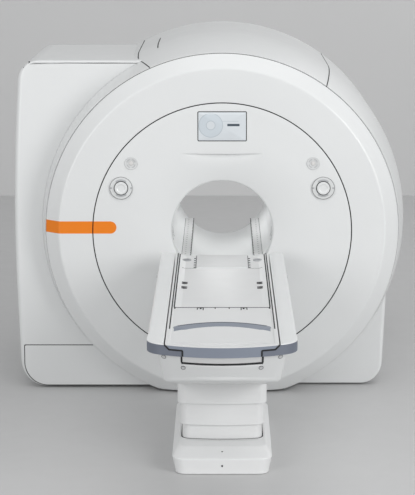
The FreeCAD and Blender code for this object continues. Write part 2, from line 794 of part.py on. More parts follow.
def sleeves():
    """Fixed lower sleeve, and the middle and outer ones that follow a share of the lift."""
    middle_bottom = base_height + 3 + middle_sleeve_follows * lift_travel
    outer_bottom = base_height + 5 + outer_sleeve_follows * lift_travel
    overlap = sleeve_overlap * lift_travel
    lip = 10
    return {"sleeve_lower": sleeve(2, base_plate_thickness, middle_bottom + overlap - 11, lip),
            "sleeve_middle": sleeve(1, middle_bottom, outer_bottom + overlap, lip),
            "sleeve_outer": sleeve(0, outer_bottom, body_floor_height + overlap + 17, 0)}


def base_form(inset):
    """Moulded base: widens up to a ridge, then slopes in to a flat top."""
    def plan(half, front, rear, corner, z):
        shape = [(-half, front, corner), (half, front, corner), (half, rear, corner),
                 (-half, rear, corner)]
        return outline(shape, lambda p: Vector(p.x, at(p.y), z))
    half = base_half_width - inset
    front, rear = base_front + inset, base_rear - inset
    low = 3.0 if inset == 0 else -1.0
    ridge = base_ridge_height - 0.4 * inset
    lower = Part.makeLoft([plan(half - 18, front + 10, rear - 18, 56, low),
                           plan(half, front, rear, 66, ridge)], True, True)
    upper = Part.makeLoft([plan(half, front, rear, 66, ridge),
                           plan(half - 32, front + 112, rear - 32, 46, base_height - inset)],
                          True, True)
    return lower.fuse(upper)


def table_base():
    plate_half = base_half_width - 45
    plate = block(-plate_half, plate_half, base_front + 56, base_rear - 48, 0, base_plate_thickness)
    centre = (base_front + base_rear) / 2
    for side_x in (-1, 1):
        for side_y in (-1, 1):
            x = side_x * base_anchor_spacing_x / 2
            depth = centre + side_y * base_anchor_spacing_y / 2
            plate = plate.cut(rod_z(base_anchor_hole_radius, x, depth, -1, base_plate_thickness + 1))
    step = 2 * sleeve_step
    pocket = sleeve_plan(sleeve_half_width - step + 2, sleeve_front + step - 2,
                         sleeve_rear - step + 2, 0, base_height + 1)
    cover = base_form(0).cut(base_form(cover_wall)).cut(pocket)
    ledge_low = base_plate_thickness + touch
    posts = [rod_z(14, x, depth, ledge_low, base_ridge_height + 40)
             for x in (-plate_half + 22, plate_half - 22) for depth in (base_front + 120, base_rear - 70)]
    posts = joined(posts).common(base_form(cover_wall - 1))
    return {"table_base_plate": plate, "table_base_cover": cover.fuse(posts)}


def lift_column():
    """Fixed square column and the hydraulic column that slides in it."""
    outer, wall = 110.0, 8.0
    inner = outer - wall - 1
    plate_top = base_plate_thickness
    moving_top = level(beam_drop + 36)
    fixed_top = moving_top - lift_travel - 20
    moving_bottom = plate_top + lift_travel + 15

    def square(half, z_a, z_b):
        return block(-half, half, column_depth - half, column_depth + half, z_a, z_b)
    fixed = square(outer, plate_top, fixed_top).cut(square(outer - wall, plate_top - 1, fixed_top + 1))
    moving = square(inner, moving_bottom, moving_top)
    moving = moving.cut(square(inner - wall, moving_bottom - 1, moving_top + 1))
    pads = square(outer - wall - touch, moving_bottom, moving_bottom + 20)
    moving = moving.fuse(pads.cut(square(inner - wall, 0, moving_top)))
    return {"lift_column_fixed": fixed, "lift_column_moving": moving}


def pulley_depths():
    """Depths of the idler pulley at the foot and of the drive pulley at the head."""
    return table_frame_foot + 60, table_head - 110


def pulley_height():
    return level(beam_drop - 25)


def table_frame():
    """Steel frame that stands on the moving column and carries the rails and covers."""
    side_in, side_out = tabletop_floor_half_width + 14, frame_side_out
    beam_top, beam_bottom = level(beam_drop), level(beam_drop + 36)
    rail_foot = level(rail_drop + 14)
    foot_end, head_end = table_frame_foot, table_head - 30
    front_beam, rear_beam = column_depth - 380, column_depth + 320
    parts = [block(side, side + side_out - side_in, foot_end, head_end, beam_top - 1, rail_foot)
             for side in (side_in, -side_out)]
    for depth in (foot_end + 30, front_beam, rear_beam, head_end - 110):
        parts.append(block(-side_out, side_out, depth, depth + 60, beam_bottom, beam_top))
    parts.append(block(-130, 130, front_beam, rear_beam + 60, beam_bottom, beam_top))
    width = side_out - table_rail_inner
    for side in (table_rail_inner, -side_out):
        for depth in (foot_end, front_beam, rear_beam, head_end - 60):
            parts.append(block(side, side + width, depth, depth + 60, rail_foot - 20, rail_foot))
    for depth in pulley_depths():
        for x in (-26, 18):
            parts.append(block(x, x + 8, depth - 24, depth + 24, beam_top - 1, level(beam_drop - 42)))
    frame = joined(parts)
    for depth in pulley_depths():
        frame = frame.cut(rod_x(8 + running_gap, -40, 40, depth, pulley_height()))
    return frame


def table_rails():
    """Strips in line with the bore rails, on which the tabletop glides."""
    top, bottom = level(rail_drop), level(rail_drop + 14) + touch
    return both(block(table_rail_inner, rail_outer, table_foot + 130, table_head - 5, bottom, top))


def drive():
    """Belt drive under the tabletop: motor, two pulleys with their shafts, and the belt."""
    foot_pulley, head_pulley = pulley_depths()
    z = pulley_height()
    radius = 20.0
    belt_wall = 3.0
    nodes = {}
    for name, depth, end in (("idler_pulley", foot_pulley, 30), ("drive_pulley", head_pulley, 45)):
        nodes[name] = joined([rod_x(radius - touch, -14, 14, depth, z), rod_x(8, -30, end, depth, z)])

    def loop(size):
        ends = [rod_x(size, -12, 12, depth, z) for depth in (foot_pulley, head_pulley)]
        return joined(ends + [block(-12, 12, foot_pulley, head_pulley, z - size, z + size)])
    nodes["drive_belt"] = loop(radius + belt_wall).cut(loop(radius))
    half = 24.7
    nodes["drive_motor"] = block(45 + touch, 170, head_pulley - half, head_pulley + half,
                                 z - half, z + half)
    return nodes


def table_covers():
    """Side covers, the fixed corners of the foot band, and the band's moving middle."""
    half, wall = table_half_width, cover_wall
    top = level(rim_drop)
    low = level(band_bottom_drop)
    gap = tabletop_half_width + 4
    cap = table_plan(half, table_foot, table_head, low, top)
    cap = cap.cut(table_plan(half - wall, table_foot + wall, table_head + 1, low - 1, top - wall))
    band_top = top - 4
    band_zone = table_plan(half, table_foot, table_foot + 240, low, band_top)
    band_zone = band_zone.cut(table_plan(half - 8, table_foot + 8, table_foot + 241, low - 1,
                                         band_top + 1))
    side_covers = cap.cut(block(-gap, gap, 2 * table_foot, 0, low - 1, top + 1)).cut(
        table_plan(half + 1, table_foot - 1, table_foot + 240 + touch, low - 1, band_top))
    inner_edge = table_plan(half - 8, table_foot + 8, table_foot + 240, top - wall - 1, top - 4)
    side_covers = side_covers.fuse(inner_edge.common(cap).cut(
        block(-gap, gap, 2 * table_foot, 0, low - 1, top + 1)))
    return side_covers.removeSplitter(), band_zone.cut(nose_outline(4)), band_zone.common(nose_outline(0))


def table_body():
    """Open tub with a hole in its floor for the sleeves, and a flange that rests on the frame."""
    skin = body_form(0).cut(body_form(cover_wall))
    fit = touch + 0.2
    hole = sleeve_plan(sleeve_half_width + fit, sleeve_front - fit, sleeve_rear + fit,
                       0, level(beam_drop + 60))
    rim = level(band_bottom_drop) - touch
    seat = level(rail_drop + 14) + touch
    flange = table_plan(table_half_width - 3, table_foot + 3, table_head - 15, seat, rim)
    flange = flange.cut(table_plan(frame_side_out - 16, table_foot + 50, 0, seat - 1, rim + 1))
    rail_notches = both(block(table_rail_inner - touch, rail_outer + touch, table_head - 30, 0,
                              seat - touch, rim + 1))
    return joined([skin.cut(hole), flange]).cut(nose_outline(4)).cut(rail_notches)


def bowed_strip(half_width, near_depth, far_depth, bow, z_a, z_b):
    """Flat strip across the table whose two long edges bow towards the head by the same amount."""
    def edge(side, depth, rise):
        return Vector(side * half_width, at(depth + rise), z_a)
    wire = Part.Wire([
        Part.Arc(edge(-1, near_depth, 0), edge(0, near_depth, bow), edge(1, near_depth, 0)).toShape(),
        Part.makeLine(edge(1, near_depth, 0), edge(1, far_depth, 0)),
        Part.Arc(edge(1, far_depth, 0), edge(0, far_depth, bow), edge(-1, far_depth, 0)).toShape(),
        Part.makeLine(edge(-1, far_depth, 0), edge(-1, near_depth, 0))])
    return Part.Face(wire).extrude(Vector(0, 0, z_b - z_a))


def tabletop(end_band):
    """The moving top: long tray, end section with the nose, its trim and the coil sockets."""
    half, low_half = tabletop_half_width, tabletop_floor_half_width
    rim, under = level(rim_drop), level(tabletop_drop)
    bed = rim - 14
    right = [(low_half, under), (half, rim - 6), (half, rim), (half - 18, rim),
             (half - 25, rim - 5), (half - 60, bed)]
    left = [(-x, z) for x, z in reversed(right)]
    section = prism_y(right + left, 2 * table_foot, table_head)
    far, wide, high = 2 * table_foot, 2 * half, 2 * axis_height
    tray = section.common(block(-wide, wide, tabletop_split + 0.5, table_head, 0, high))
    end = section.common(block(-wide, wide, far, tabletop_split, 0, high))
    end = end.fuse(block(-half + 25, half - 25, table_foot + 100, tabletop_split, bed - 1, rim - 5))
    inside_wall = table_plan(table_half_width - nose_wall, table_foot + nose_wall, 0, 0, rim + 1)
    nose = table_plan(table_half_width, table_foot, 0, level(band_bottom_drop), rim)
    lip_back = body_form(nose_wall - 6).translated(Vector(0, 0, 40))
    lip = body_form(0).cut(lip_back).common(block(-wide, wide, far, table_foot + 150, 0, rim))
    nose = nose.cut(inside_wall).fuse(lip).common(nose_outline(0))
    clamp_depth = pulley_depths()[0] + 20
    clamp = block(-16, 16, clamp_depth, clamp_depth + 50, pulley_height() + 23 + touch, under + 1)
    end = joined([end.common(inside_wall), nose, clamp]).cut(end_band)
    inlay_low = rim - 8
    pocket = bowed_strip(236, table_foot + 323, table_foot + 384, 101, inlay_low, rim)
    end = end.cut(pocket)
    inlay = pocket.common(block(-wide, wide, far, 0, 0, rim - 5))
    for x, y in ((touch, 0), (-touch, 0), (0, touch), (0, -touch)):
        inlay = inlay.common(pocket.translated(Vector(x, y, 0)))
    trim = Part.makeCompound([end_band, inlay])
    sockets = []
    for x in (-socket_x, socket_x):
        tray = tray.cut(rod_z(socket_radius, x, table_head - 140, bed - 8, rim + 1))
        cup = rod_z(socket_radius - touch, x, table_head - 140, bed - 8 + touch, bed + 6)
        sockets.append(cup.cut(rod_z(socket_radius - 8, x, table_head - 140, bed - 4, rim)))
    return {"tabletop_tray": tray, "tabletop_end": end, "tabletop_trim": trim,
            "coil_sockets": Part.makeCompound(sockets)}


def screw_caps():
    """Round caps over the screws of the table body's foot end and of the base cover."""
    caps = []
    for x, drop in ((277, band_bottom_drop + 18), (185, nose_lip_drop + 34)):
        lean = table_foot + 12 + body_foot_slope * (drop - band_bottom_drop)
        for side in (-1, 1):
            caps.append(rod_y(9, lean, lean + 90, side * x, level(drop)))
    skin = body_form(-2 - touch).cut(body_form(-touch))
    return Part.makeCompound([cap.common(skin) for cap in caps])


def build():
    nodes = {}
    nodes.update(magnet())
    nodes.update(bore_stack())
    nodes.update(bore_rails())
    nodes.update(magnet_feet())
    nodes.update(top_services())
    nodes.update(covers())
    body = gantry_body()
    nodes.update(cabinet(body))
    nodes.update(right_skirt(body))
    nodes.update(display())
    nodes.update(controls())
    nodes.update(sleeves())
    nodes.update(table_base())
    nodes.update(lift_column())
    nodes["table_frame"] = table_frame()
    nodes["table_rails"] = table_rails()
    nodes.update(drive())
    nodes["table_side_covers"], nodes["foot_band"], end_band = table_covers()
    nodes["table_body_cover"] = table_body()
    nodes["screw_caps"] = screw_caps()
    nodes.update(tabletop(end_band))
    return nodes


os.makedirs("parts", exist_ok=True)
for node_name, node_shape in build().items():
    node_shape.exportStep("parts/" + node_name + ".step")
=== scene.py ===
"""Looks of a horizontal-bore body scanner with its equipment cabinet and patient table.

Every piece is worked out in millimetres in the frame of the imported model: +X to the right, +Y into
the bore, +Z up. Depths are measured along +Y from the front plane of the covers.
"""

import json
import math

import bmesh
import bpy
import numpy as np
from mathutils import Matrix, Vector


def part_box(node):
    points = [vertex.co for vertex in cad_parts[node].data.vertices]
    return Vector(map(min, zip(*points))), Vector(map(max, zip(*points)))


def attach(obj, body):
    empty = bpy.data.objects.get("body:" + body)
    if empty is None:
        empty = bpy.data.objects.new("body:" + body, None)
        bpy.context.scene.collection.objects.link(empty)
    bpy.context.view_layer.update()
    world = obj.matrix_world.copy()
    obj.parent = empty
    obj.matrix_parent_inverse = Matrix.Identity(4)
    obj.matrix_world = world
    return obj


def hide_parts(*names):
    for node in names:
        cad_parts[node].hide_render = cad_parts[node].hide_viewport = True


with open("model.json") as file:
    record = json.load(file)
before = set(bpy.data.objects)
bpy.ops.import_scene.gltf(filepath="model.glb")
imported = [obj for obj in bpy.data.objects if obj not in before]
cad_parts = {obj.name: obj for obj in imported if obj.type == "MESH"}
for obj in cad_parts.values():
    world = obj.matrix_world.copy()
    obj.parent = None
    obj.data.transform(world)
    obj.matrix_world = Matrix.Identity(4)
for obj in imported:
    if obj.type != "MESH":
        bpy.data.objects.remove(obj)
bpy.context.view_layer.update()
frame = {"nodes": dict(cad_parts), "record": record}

bl_info = {
    "name": "Body Scanner",
    "version": (1, 0, 0),
    "blender": (4, 5, 0),
    "location": "3D View > Sidebar > Scanner",
    "description": "Builds the covers, table and finishes of a body scanner round its packed frame",
    "category": "Object",
}

MM = 0.001


# ---- places read from the frame, in millimetres -------------------------------------------

def span(node):
    """Lowest and highest corner of a node, in millimetres."""
    low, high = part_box(node)
    return np.array(low) / MM, np.array(high) / MM


def lowest(node, axis):
    return float(span(node)[0]["xyz".index(axis)])


def highest(node, axis):
    return float(span(node)[1]["xyz".index(axis)])


FRONT = lowest("front_disc_cover", "y")
AXIS = (lowest("bore_liner", "z") + highest("bore_liner", "z")) / 2
FLOOR_GAP = lowest("side_shell_left", "z")
LINER_RADIUS = highest("bore_liner", "x")
COVER_WALL = 6.0
BORE_RADIUS = LINER_RADIUS - COVER_WALL
DISC_RADIUS = highest("front_disc_cover", "x")
DISC_LIP = highest("front_disc_cover", "y") - FRONT
RING_EDGE = highest("front_ring_cover", "x")
RING_DEPTH = 73.0
RING_GAP = 6.0
RING_CHAMFER = 89.0
SEAM = 3.0
SHELL_RADIUS = highest("side_shell_right", "x")
SHELL_END = highest("side_shell_right", "y") - FRONT
FLARE_DEPTH = 700.0
FLARE_RISE = SHELL_RADIUS - RING_EDGE
FLARE_RUN = FLARE_DEPTH - RING_DEPTH
FLARE_RADIUS = (FLARE_RUN ** 2 + FLARE_RISE ** 2) / (2 * FLARE_RISE)
GANTRY_LENGTH = highest("rear_cover", "y") - FRONT
CABINET_BACK = highest("cabinet_cover", "y") - FRONT
CABINET_TOP = highest("cabinet_lid", "z")
LID_BOTTOM = lowest("cabinet_lid", "z")
CABINET_FLANK = 140.4
CABINET_WAIST_X = -(SHELL_RADIUS + CABINET_FLANK)
SKIRT_X = SHELL_RADIUS - 128
RIM_HEIGHT = highest("tabletop_tray", "z")
TRAY_HALF = highest("tabletop_tray", "x")
TABLE_HALF = highest("table_side_covers", "x")
TABLE_FOOT = lowest("tabletop_trim", "y") - FRONT
TABLE_HEAD = highest("table_side_covers", "y") - FRONT
BODY_TOP = lowest("table_side_covers", "z")
BODY_FLOOR = lowest("table_body_cover", "z")
TRAY_SPLIT = highest("tabletop_end", "y") - FRONT
BED_HEIGHT = RIM_HEIGHT - 14
DISPLAY_HALF = highest("display_screen", "x")
DISPLAY_LOW = lowest("display_screen", "z")
DISPLAY_HIGH = highest("display_screen", "z")
SLEEVE_HALF = highest("sleeve_outer", "x")
SLEEVE_FRONT = lowest("sleeve_outer", "y") - FRONT
SLEEVE_REAR = highest("sleeve_outer", "y") - FRONT
BASE_HALF = highest("table_base_cover", "x")
BASE_FRONT = lowest("table_base_cover", "y") - FRONT
BASE_REAR = highest("table_base_cover", "y") - FRONT
BASE_TOP = highest("table_base_cover", "z")
HIDDEN_X = 0.3 * SHELL_RADIUS
SHELL_CLEARANCE = 0.5
DISC_RIM = 185.0
STOP_POCKET = 12.0
STOP_POCKET_GAP = 5.0
SHARP_ANGLE = 38.0
BODY_SIDE_INSET = 48.0
BODY_SIDE_LEAN = 0.159
BODY_FOOT_INSET = 12.0
BODY_FOOT_LEAN = 0.70
NOSE_HALF = 194.0
HEAD_PAD_HALF = 148.0
HEAD_PAD_LENGTH = 358.0
SLEEVE_STEP = 22.0


def record_colour(slot):
    """The record's base colour of a material slot, as a default that can be changed."""
    for entry in frame["record"]["materials"]:
        if entry["slot"] == slot:
            return tuple(entry["base_color"])
    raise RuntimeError("no material slot " + slot)


# ---- sizes and colours that can be changed ------------------------------------------------

def length(label, text, default):
    return bpy.props.FloatProperty(name=label, description=text, default=default, min=0.0,
                                   unit="LENGTH", subtype="DISTANCE", precision=4)


def colour(label, text, default):
    return bpy.props.FloatVectorProperty(name=label, description=text, default=default, size=3,
                                         min=0.0, max=1.0, subtype="COLOR")


class ScannerSizes(bpy.types.PropertyGroup):
    """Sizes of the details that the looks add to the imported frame."""
    brow_width: length("Brow width", "Width of the crease over the bore", 0.486)
    brow_rise: length("Brow height", "Height of the crease above the bore axis", 0.462)
    brow_step: length("Brow step", "Depth of the crease", 0.024)
    stripe_end: length("Stripe reach", "Distance of the stripe's round end from the middle", 0.627)
    stripe_height: length("Stripe height", "Height of the coloured stripe", 0.074)
    stripe_rise: length("Stripe rise", "Height of the stripe's centre above the axis", 0.0265)
    cabinet_edge: length("Cabinet edge", "Radius of the cabinet's front edge", 0.034)
    lid_edge: length("Lid edge", "Radius of the lid's front edge", 0.011)
    skirt_edge: length("Skirt edge", "Radius of the right skirt's front edge", 0.022)
    body_edge: length("Body edge", "Radius under the table body", 0.028)
    cover_edge: length("Cover edge", "Radius on top of the table's side covers", 0.012)
    line_width: length("Line width", "Width of the dark joints in the table top", 0.006)


class ScannerColours(bpy.types.PropertyGroup):
    """Colours of the finishes."""
    covers: colour("Covers", "Gantry and cabinet covers", record_colour("shell_white"))
    table: colour("Table", "Table covers", record_colour("table_white"))
    tray: colour("Tray", "Table top", (0.675, 0.68, 0.68))
    band: colour("Band", "Foot band", (0.135, 0.152, 0.19))
    inlay: colour("Inlay", "Table top inlay", (0.20, 0.225, 0.275))
    stripe: colour("Stripe", "Coloured stripe on the front", (0.80, 0.20, 0.0))
    sleeves: colour("Sleeves", "Telescopic sleeves", (0.70, 0.705, 0.705))
    base: colour("Base", "Table base", (0.77, 0.775, 0.775))
    liner: colour("Liner", "Bore liner", (0.80, 0.81, 0.81))
    gaps: colour("Gaps", "Joints and gaskets", (0.032, 0.033, 0.035))
    screen: colour("Screen", "Display picture", record_colour("screen_glass"))
    floor: colour("Floor", "Studio floor", (0.545, 0.545, 0.545))
    wall: colour("Wall", "Studio wall", (0.61, 0.61, 0.61))


# ---- curves and grids ---------------------------------------------------------------------

def unit(vectors):
    return vectors / np.linalg.norm(vectors, axis=-1, keepdims=True)


def rounded(corners, closed=False, step=6.0):
    """Path of straight runs and tangent arcs through corners (a, b) or (a, b, radius).

    An arc of radius r starts r / tan(half the corner's angle) from the corner. Its points are the
    centre plus (sin((1 - t) w) start + sin(t w) end) / sin(w) for t from 0 to 1 and a turn w.
    """
    flat = np.array([corner[:2] for corner in corners], float)
    parts = []
    for index, corner in enumerate(corners):
        inner = closed or 0 < index < len(corners) - 1
        if len(corner) == 2 or not inner:
            parts.append(flat[index:index + 1])
            continue
        here, radius = flat[index], corner[2]
        back = unit(flat[index - 1] - here)
        ahead = unit(flat[(index + 1) % len(flat)] - here)
        half = math.acos(float(np.clip(back @ ahead, -1, 1))) / 2
        centre = here + unit(back + ahead) * radius / math.sin(half)
        start = here + back * radius / math.tan(half) - centre
        end = here + ahead * radius / math.tan(half) - centre
        turn = math.pi - 2 * half
        t = np.linspace(0, 1, max(3, int(math.degrees(turn) / step) + 2))[:, None]
        arc = np.sin((1 - t) * turn) * start + np.sin(t * turn) * end
        parts.append(centre + arc / math.sin(turn))
    path = np.concatenate(parts)
    return np.concatenate([path, path[:1]]) if closed else path


def along(path):
    """Distance from the path's start to each of its points."""
    return np.concatenate([[0], np.cumsum(np.linalg.norm(np.diff(path, axis=0), axis=1))])


def resampled(path, count):
    """The same path through evenly spaced points."""
    done = along(path)
    places = np.linspace(0, done[-1], count)
    return np.stack([np.interp(places, done, column) for column in path.T], 1)


def refined(profile, radii):
    """The same profile with a point added at each given radius."""
    done, most = along(profile), int(np.argmax(profile[:, 0]))
    added = np.interp(radii, profile[1:most + 1, 0], done[1:most + 1])
    places = np.unique(np.concatenate([done, added]))
    return np.stack([np.interp(places, done, column) for column in profile.T], 1)


def shell_radius_at(depth):
    """Radius of the side shells: an arc that widens until the flare's end, then constant."""
    run = np.clip(FLARE_DEPTH - depth, 0, None)
    return SHELL_RADIUS - FLARE_RADIUS + np.sqrt(FLARE_RADIUS ** 2 - run ** 2)


def reach(radius):
    """Angle from the top at which a circle about the bore axis meets the covers' lower edge."""
    drop = np.clip((AXIS - FLOOR_GAP) / np.asarray(radius, float), -1, 1)
    return np.where(radius > AXIS - FLOOR_GAP, math.pi - np.arccos(drop), math.pi)


def turned(profile, angles, x=0.0, z=None):
    """Surface of revolution: point (radius, depth) at an angle a clockwise from the top lies at
    x + radius sin(a), depth, z + radius cos(a). angles is one row, or one row per profile point."""
    radius, depth = profile[:, :1], profile[:, 1:2]
    angles = np.broadcast_to(angles, (len(profile), np.shape(angles)[-1]))
    return np.stack([x + radius * np.sin(angles), FRONT + depth + 0 * angles,
                     (AXIS if z is None else z) + radius * np.cos(angles)], -1)


def full_turn(columns):
    return np.linspace(-math.pi, math.pi, columns + 1)


def loop_at(outline, centre, angles):
    """Points of a closed outline seen from its centre at the given angles, by interpolation."""
    offset = resampled(outline, 4000)[:-1] - centre
    turn = np.arctan2(offset[:, 0], offset[:, 1])
    order = np.argsort(turn)
    distance = np.hypot(*offset.T)[order]
    far = np.interp(angles, turn[order], distance, period=2 * math.pi)
    return centre + np.stack([far * np.sin(angles), far * np.cos(angles)], -1)


def housing(outline, front_at, back_at, front_edge, back_edge=4.0, columns=420):
    """Form between an outline seen from the front and the round side of the gantry. A slit of
    under 1 mm stays open along the gantry at both ends of its rows.

    Each row runs along the part of the outline outside the gantry. Down the rows the form
    goes over the front face, round the front edge by a quarter circle of radius front_edge(normal),
    back along the side, round the back edge, over the back face and forward along the gantry.
    front_at and back_at give the depth of the two faces at a height.
    """
    centre = np.array([0, AXIS])
    dense = resampled(outline, 3000)
    tangent = unit(np.gradient(dense, axis=0))
    normal = np.stack([-tangent[:, 1], tangent[:, 0]], 1)
    if ((dense - centre) * normal).sum() < 0:
        normal = -normal
    edge = front_edge(normal)
    soft = float(edge.max())
    number = np.arange(len(dense))

    def row(inset, depth_of):
        flat = dense - normal * (inset + 0 * edge)[:, None]
        depth = depth_of(flat[:, 1])
        outside = np.hypot(*(flat - centre).T) > shell_radius_at(depth) + SHELL_CLEARANCE
        first, last = np.flatnonzero(outside)[[0, -1]]
        pick = np.linspace(first, last, columns)
        return np.stack([np.interp(pick, number, flat[:, 0]), np.interp(pick, number, depth),
                         np.interp(pick, number, flat[:, 1])], 1)

    def against(ends, depth_of):
        first, last = (math.atan2(end[0], end[2] - AXIS) for end in (ends[0], ends[-1]))
        angle = np.linspace(first, last, columns)
        depth = np.linspace(ends[0, 1], ends[-1, 1], columns)
        for _ in range(6):
            radius = shell_radius_at(depth) + SHELL_CLEARANCE
            height = AXIS + radius * np.cos(angle)
            depth = depth_of(height)
        return np.stack([radius * np.sin(angle), depth, height], 1)

    def side_depth(share):
        return lambda h: (1 - share) * (front_at(h) + soft) + share * (back_at(h) - back_edge)

    def between(first, second, share, face_at):
        mixed = first * (1 - share) + second * share
        mixed[:, 1] = face_at(mixed[:, 2])
        return mixed

    quarter = np.radians(np.linspace(0, 90, 7))
    fore = [row(edge * (1 - math.sin(a)), lambda h, a=a: front_at(h) + edge * (1 - math.cos(a)))
            for a in quarter]
    shares = np.linspace(0, 1, 9)
    sides = [row(0.0, side_depth(share)) for share in shares]
    aft = [row(back_edge * (1 - math.cos(a)),
               lambda h, a=a: back_at(h) - back_edge * (1 - math.sin(a)))
           for a in quarter[1::2]]
    near, far = against(fore[0], front_at), against(aft[-1], back_at)
    face = [between(near, fore[0], t, front_at) for t in (0, 0.35, 0.7, 0.9)]
    rear = [between(aft[-1], far, t, back_at) for t in (0.3, 0.6, 1)]
    inner = [against(side, side_depth(share)) for side, share in zip(sides[::-1], shares[::-1])]
    grid = np.stack(face + fore + sides + aft + rear + inner + [near])
    grid[..., 1] += FRONT
    return grid


def slab(outline, low, high, edge, place):
    """Closed flat piece: an outline (a, b) carried from height low to high, with its upper edge
    rounded by a quarter circle, and closed at its middle. place(a, b, h) gives the point."""
    middle = outline[:-1].mean(0)
    offset = outline - middle
    size = np.linalg.norm(offset, axis=1, keepdims=True)
    levels = [(offset * 0, low), (offset, low)]
    for turn in np.radians(np.linspace(0, 90, 4)):
        inset = edge * (1 - np.cos(turn))
        levels.append((offset * (1 - inset / size), high - edge * (1 - np.sin(turn))))
    levels.append((offset * 0, high))
    return np.stack([place(*(middle + flat).T, height) for flat, height in levels])


def flat_place(a, b, h):
    """Plan (x, depth) and height above the floor."""
    return np.stack(np.broadcast_arrays(a, FRONT + b, h), -1)


def face_place(a, b, h):
    """Front view (x, height) and distance in front of the front plane."""
    return np.stack(np.broadcast_arrays(a, FRONT - h, b), -1)


def box_outline(x_a, x_b, b_a, b_b, corner):
    return rounded([(x_a, b_a, corner), (x_b, b_a, corner), (x_b, b_b, corner), (x_a, b_b, corner)],
                   closed=True, step=15)


def circle(a, b, radius, columns):
    turn = full_turn(columns)
    return np.stack([a + radius * np.cos(turn), b + radius * np.sin(turn)], 1)


def ribbon(path, width, place, low, high):
    """Thin strip: a rectangle carried along a flat path, offset by its sideways normal, and closed
    at both ends. A path that repeats its last point leaves that end open."""
    tangent = unit(np.gradient(path, axis=0))
    side = np.stack([-tangent[:, 1], tangent[:, 0]], 1) * width / 2
    left, right = path + side, path - side
    loop = [place(*left.T, low), place(*left.T, high), place(*right.T, high), place(*right.T, low)]
    grid = np.stack(loop + loop[:1])
    start, end = grid[:, :1].mean(0, keepdims=True), grid[:, -1:].mean(0, keepdims=True)
    return np.concatenate([start + 0 * grid[:, :1], grid, end + 0 * grid[:, :1]], 1)


def mirrored(grid):
    return grid * np.array([-1, 1, 1])


def both_sides(grids):
    """The grids and their mirror images on the other side of the middle plane."""
    return grids + [mirrored(grid) for grid in grids]


# ---- meshes -------------------------------------------------------------------------------

def surface(name, grids, material, inside=None):
    """One object from grids of points in millimetres, each a (rows, columns, 3) array.

    Neighbouring points make quads, equal points are merged, and the faces are turned outwards,
    away from the point inside, or from the middle of the faces.
    """
    points, quads, count = [], [], 0
    for grid in grids:
        rows, columns = grid.shape[:2]
        index = count + np.arange(rows * columns).reshape(rows, columns)
        corners = [index[:-1, :-1], index[1:, :-1], index[1:, 1:], index[:-1, 1:]]
        quads.append(np.stack(corners, -1).reshape(-1, 4))
        points.append(grid.reshape(-1, 3))
        count += rows * columns
    points, quads = np.concatenate(points) * MM, np.concatenate(quads)
    quads = quads[np.isfinite(points[quads]).all((1, 2))]
    points = np.nan_to_num(points)
    mesh = bpy.data.meshes.new(name)
    mesh.vertices.add(len(points))
    mesh.vertices.foreach_set("co", points.ravel().astype(np.float32))
    mesh.loops.add(quads.size)
    mesh.loops.foreach_set("vertex_index", quads.ravel().astype(np.int32))
    mesh.polygons.add(len(quads))
    mesh.polygons.foreach_set("loop_start", np.arange(0, quads.size, 4, dtype=np.int32))
    mesh.update(calc_edges=True)
    work = bmesh.new()
    work.from_mesh(mesh)
    bmesh.ops.remove_doubles(work, verts=work.verts, dist=2e-5)
    bmesh.ops.dissolve_degenerate(work, edges=work.edges, dist=1e-6)
    loose = [vertex for vertex in work.verts if not vertex.link_faces]
    bmesh.ops.delete(work, geom=loose, context="VERTS")
    bmesh.ops.recalc_face_normals(work, faces=work.faces)
    work.to_mesh(mesh)
    work.free()
    count = len(mesh.polygons)
    normals, centres, areas = np.zeros(count * 3), np.zeros(count * 3), np.zeros(count)
    mesh.polygons.foreach_get("normal", normals)
    mesh.polygons.foreach_get("center", centres)
    mesh.polygons.foreach_get("area", areas)
    centres = centres.reshape(-1, 3)
    middle = centres.mean(0) if inside is None else np.array(inside) * MM
    if (((centres - middle) * normals.reshape(-1, 3)).sum(1) * areas).sum() < 0:
        mesh.flip_normals()
    mesh.polygons.foreach_set("use_smooth", np.ones(count, bool))
    mesh.set_sharp_from_angle(angle=math.radians(SHARP_ANGLE))
    mesh.materials.append(material)
    return linked(name, mesh)


def linked(name, data):
    """An object of the scene that shows the mesh, lamp or lens."""
    made = bpy.data.objects.new(name, data)
    bpy.context.scene.collection.objects.link(made)
    return made


def piece(name, grids, material, body, replaces=(), wall=0.0, bevel=0.0, inside=None):
    """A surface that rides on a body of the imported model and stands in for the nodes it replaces.
    wall adds a thickness inwards and bevel softens its rim."""
    made = surface(name, grids, material, inside)
    if wall:
        solid = made.modifiers.new("wall", "SOLIDIFY")
        solid.thickness = wall * MM
        solid.offset = -1
    if bevel:
        soft = made.modifiers.new("rim", "BEVEL")
        soft.width = bevel * MM
        soft.segments = 2
        soft.limit_method = "ANGLE"
        soft.angle_limit = math.radians(50)
        weighted = made.modifiers.new("shading", "WEIGHTED_NORMAL")
        weighted.keep_sharp = True
    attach(made, body)
    if replaces:
        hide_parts(*replaces)
    return made


def dress(nodes, material):
    """Gives CAD nodes that stay in view their finish."""
    for name in nodes:
        for place in frame["nodes"][name].material_slots:
            place.material = material


# ---- shader node groups -------------------------------------------------------------------

def put(tree, kind, sockets=(), **settings):
    """Adds a node. sockets maps an input's name or number to a value or to another output."""
    made = tree.nodes.new(kind)
    for name, value in settings.items():
        setattr(made, name, value)
    for name, value in dict(sockets).items():
        if isinstance(value, bpy.types.NodeSocket):
            tree.links.new(value, made.inputs[name])
        else:
            made.inputs[name].default_value = value
    return made


def maths(tree, operation, *values):
    return put(tree, "ShaderNodeMath", dict(enumerate(values)), operation=operation).outputs[0]


def vectors(tree, operation, *values):
    made = put(tree, "ShaderNodeVectorMath", dict(enumerate(values)), operation=operation)
    return made.outputs["Value" if operation in ("LENGTH", "DISTANCE") else "Vector"]


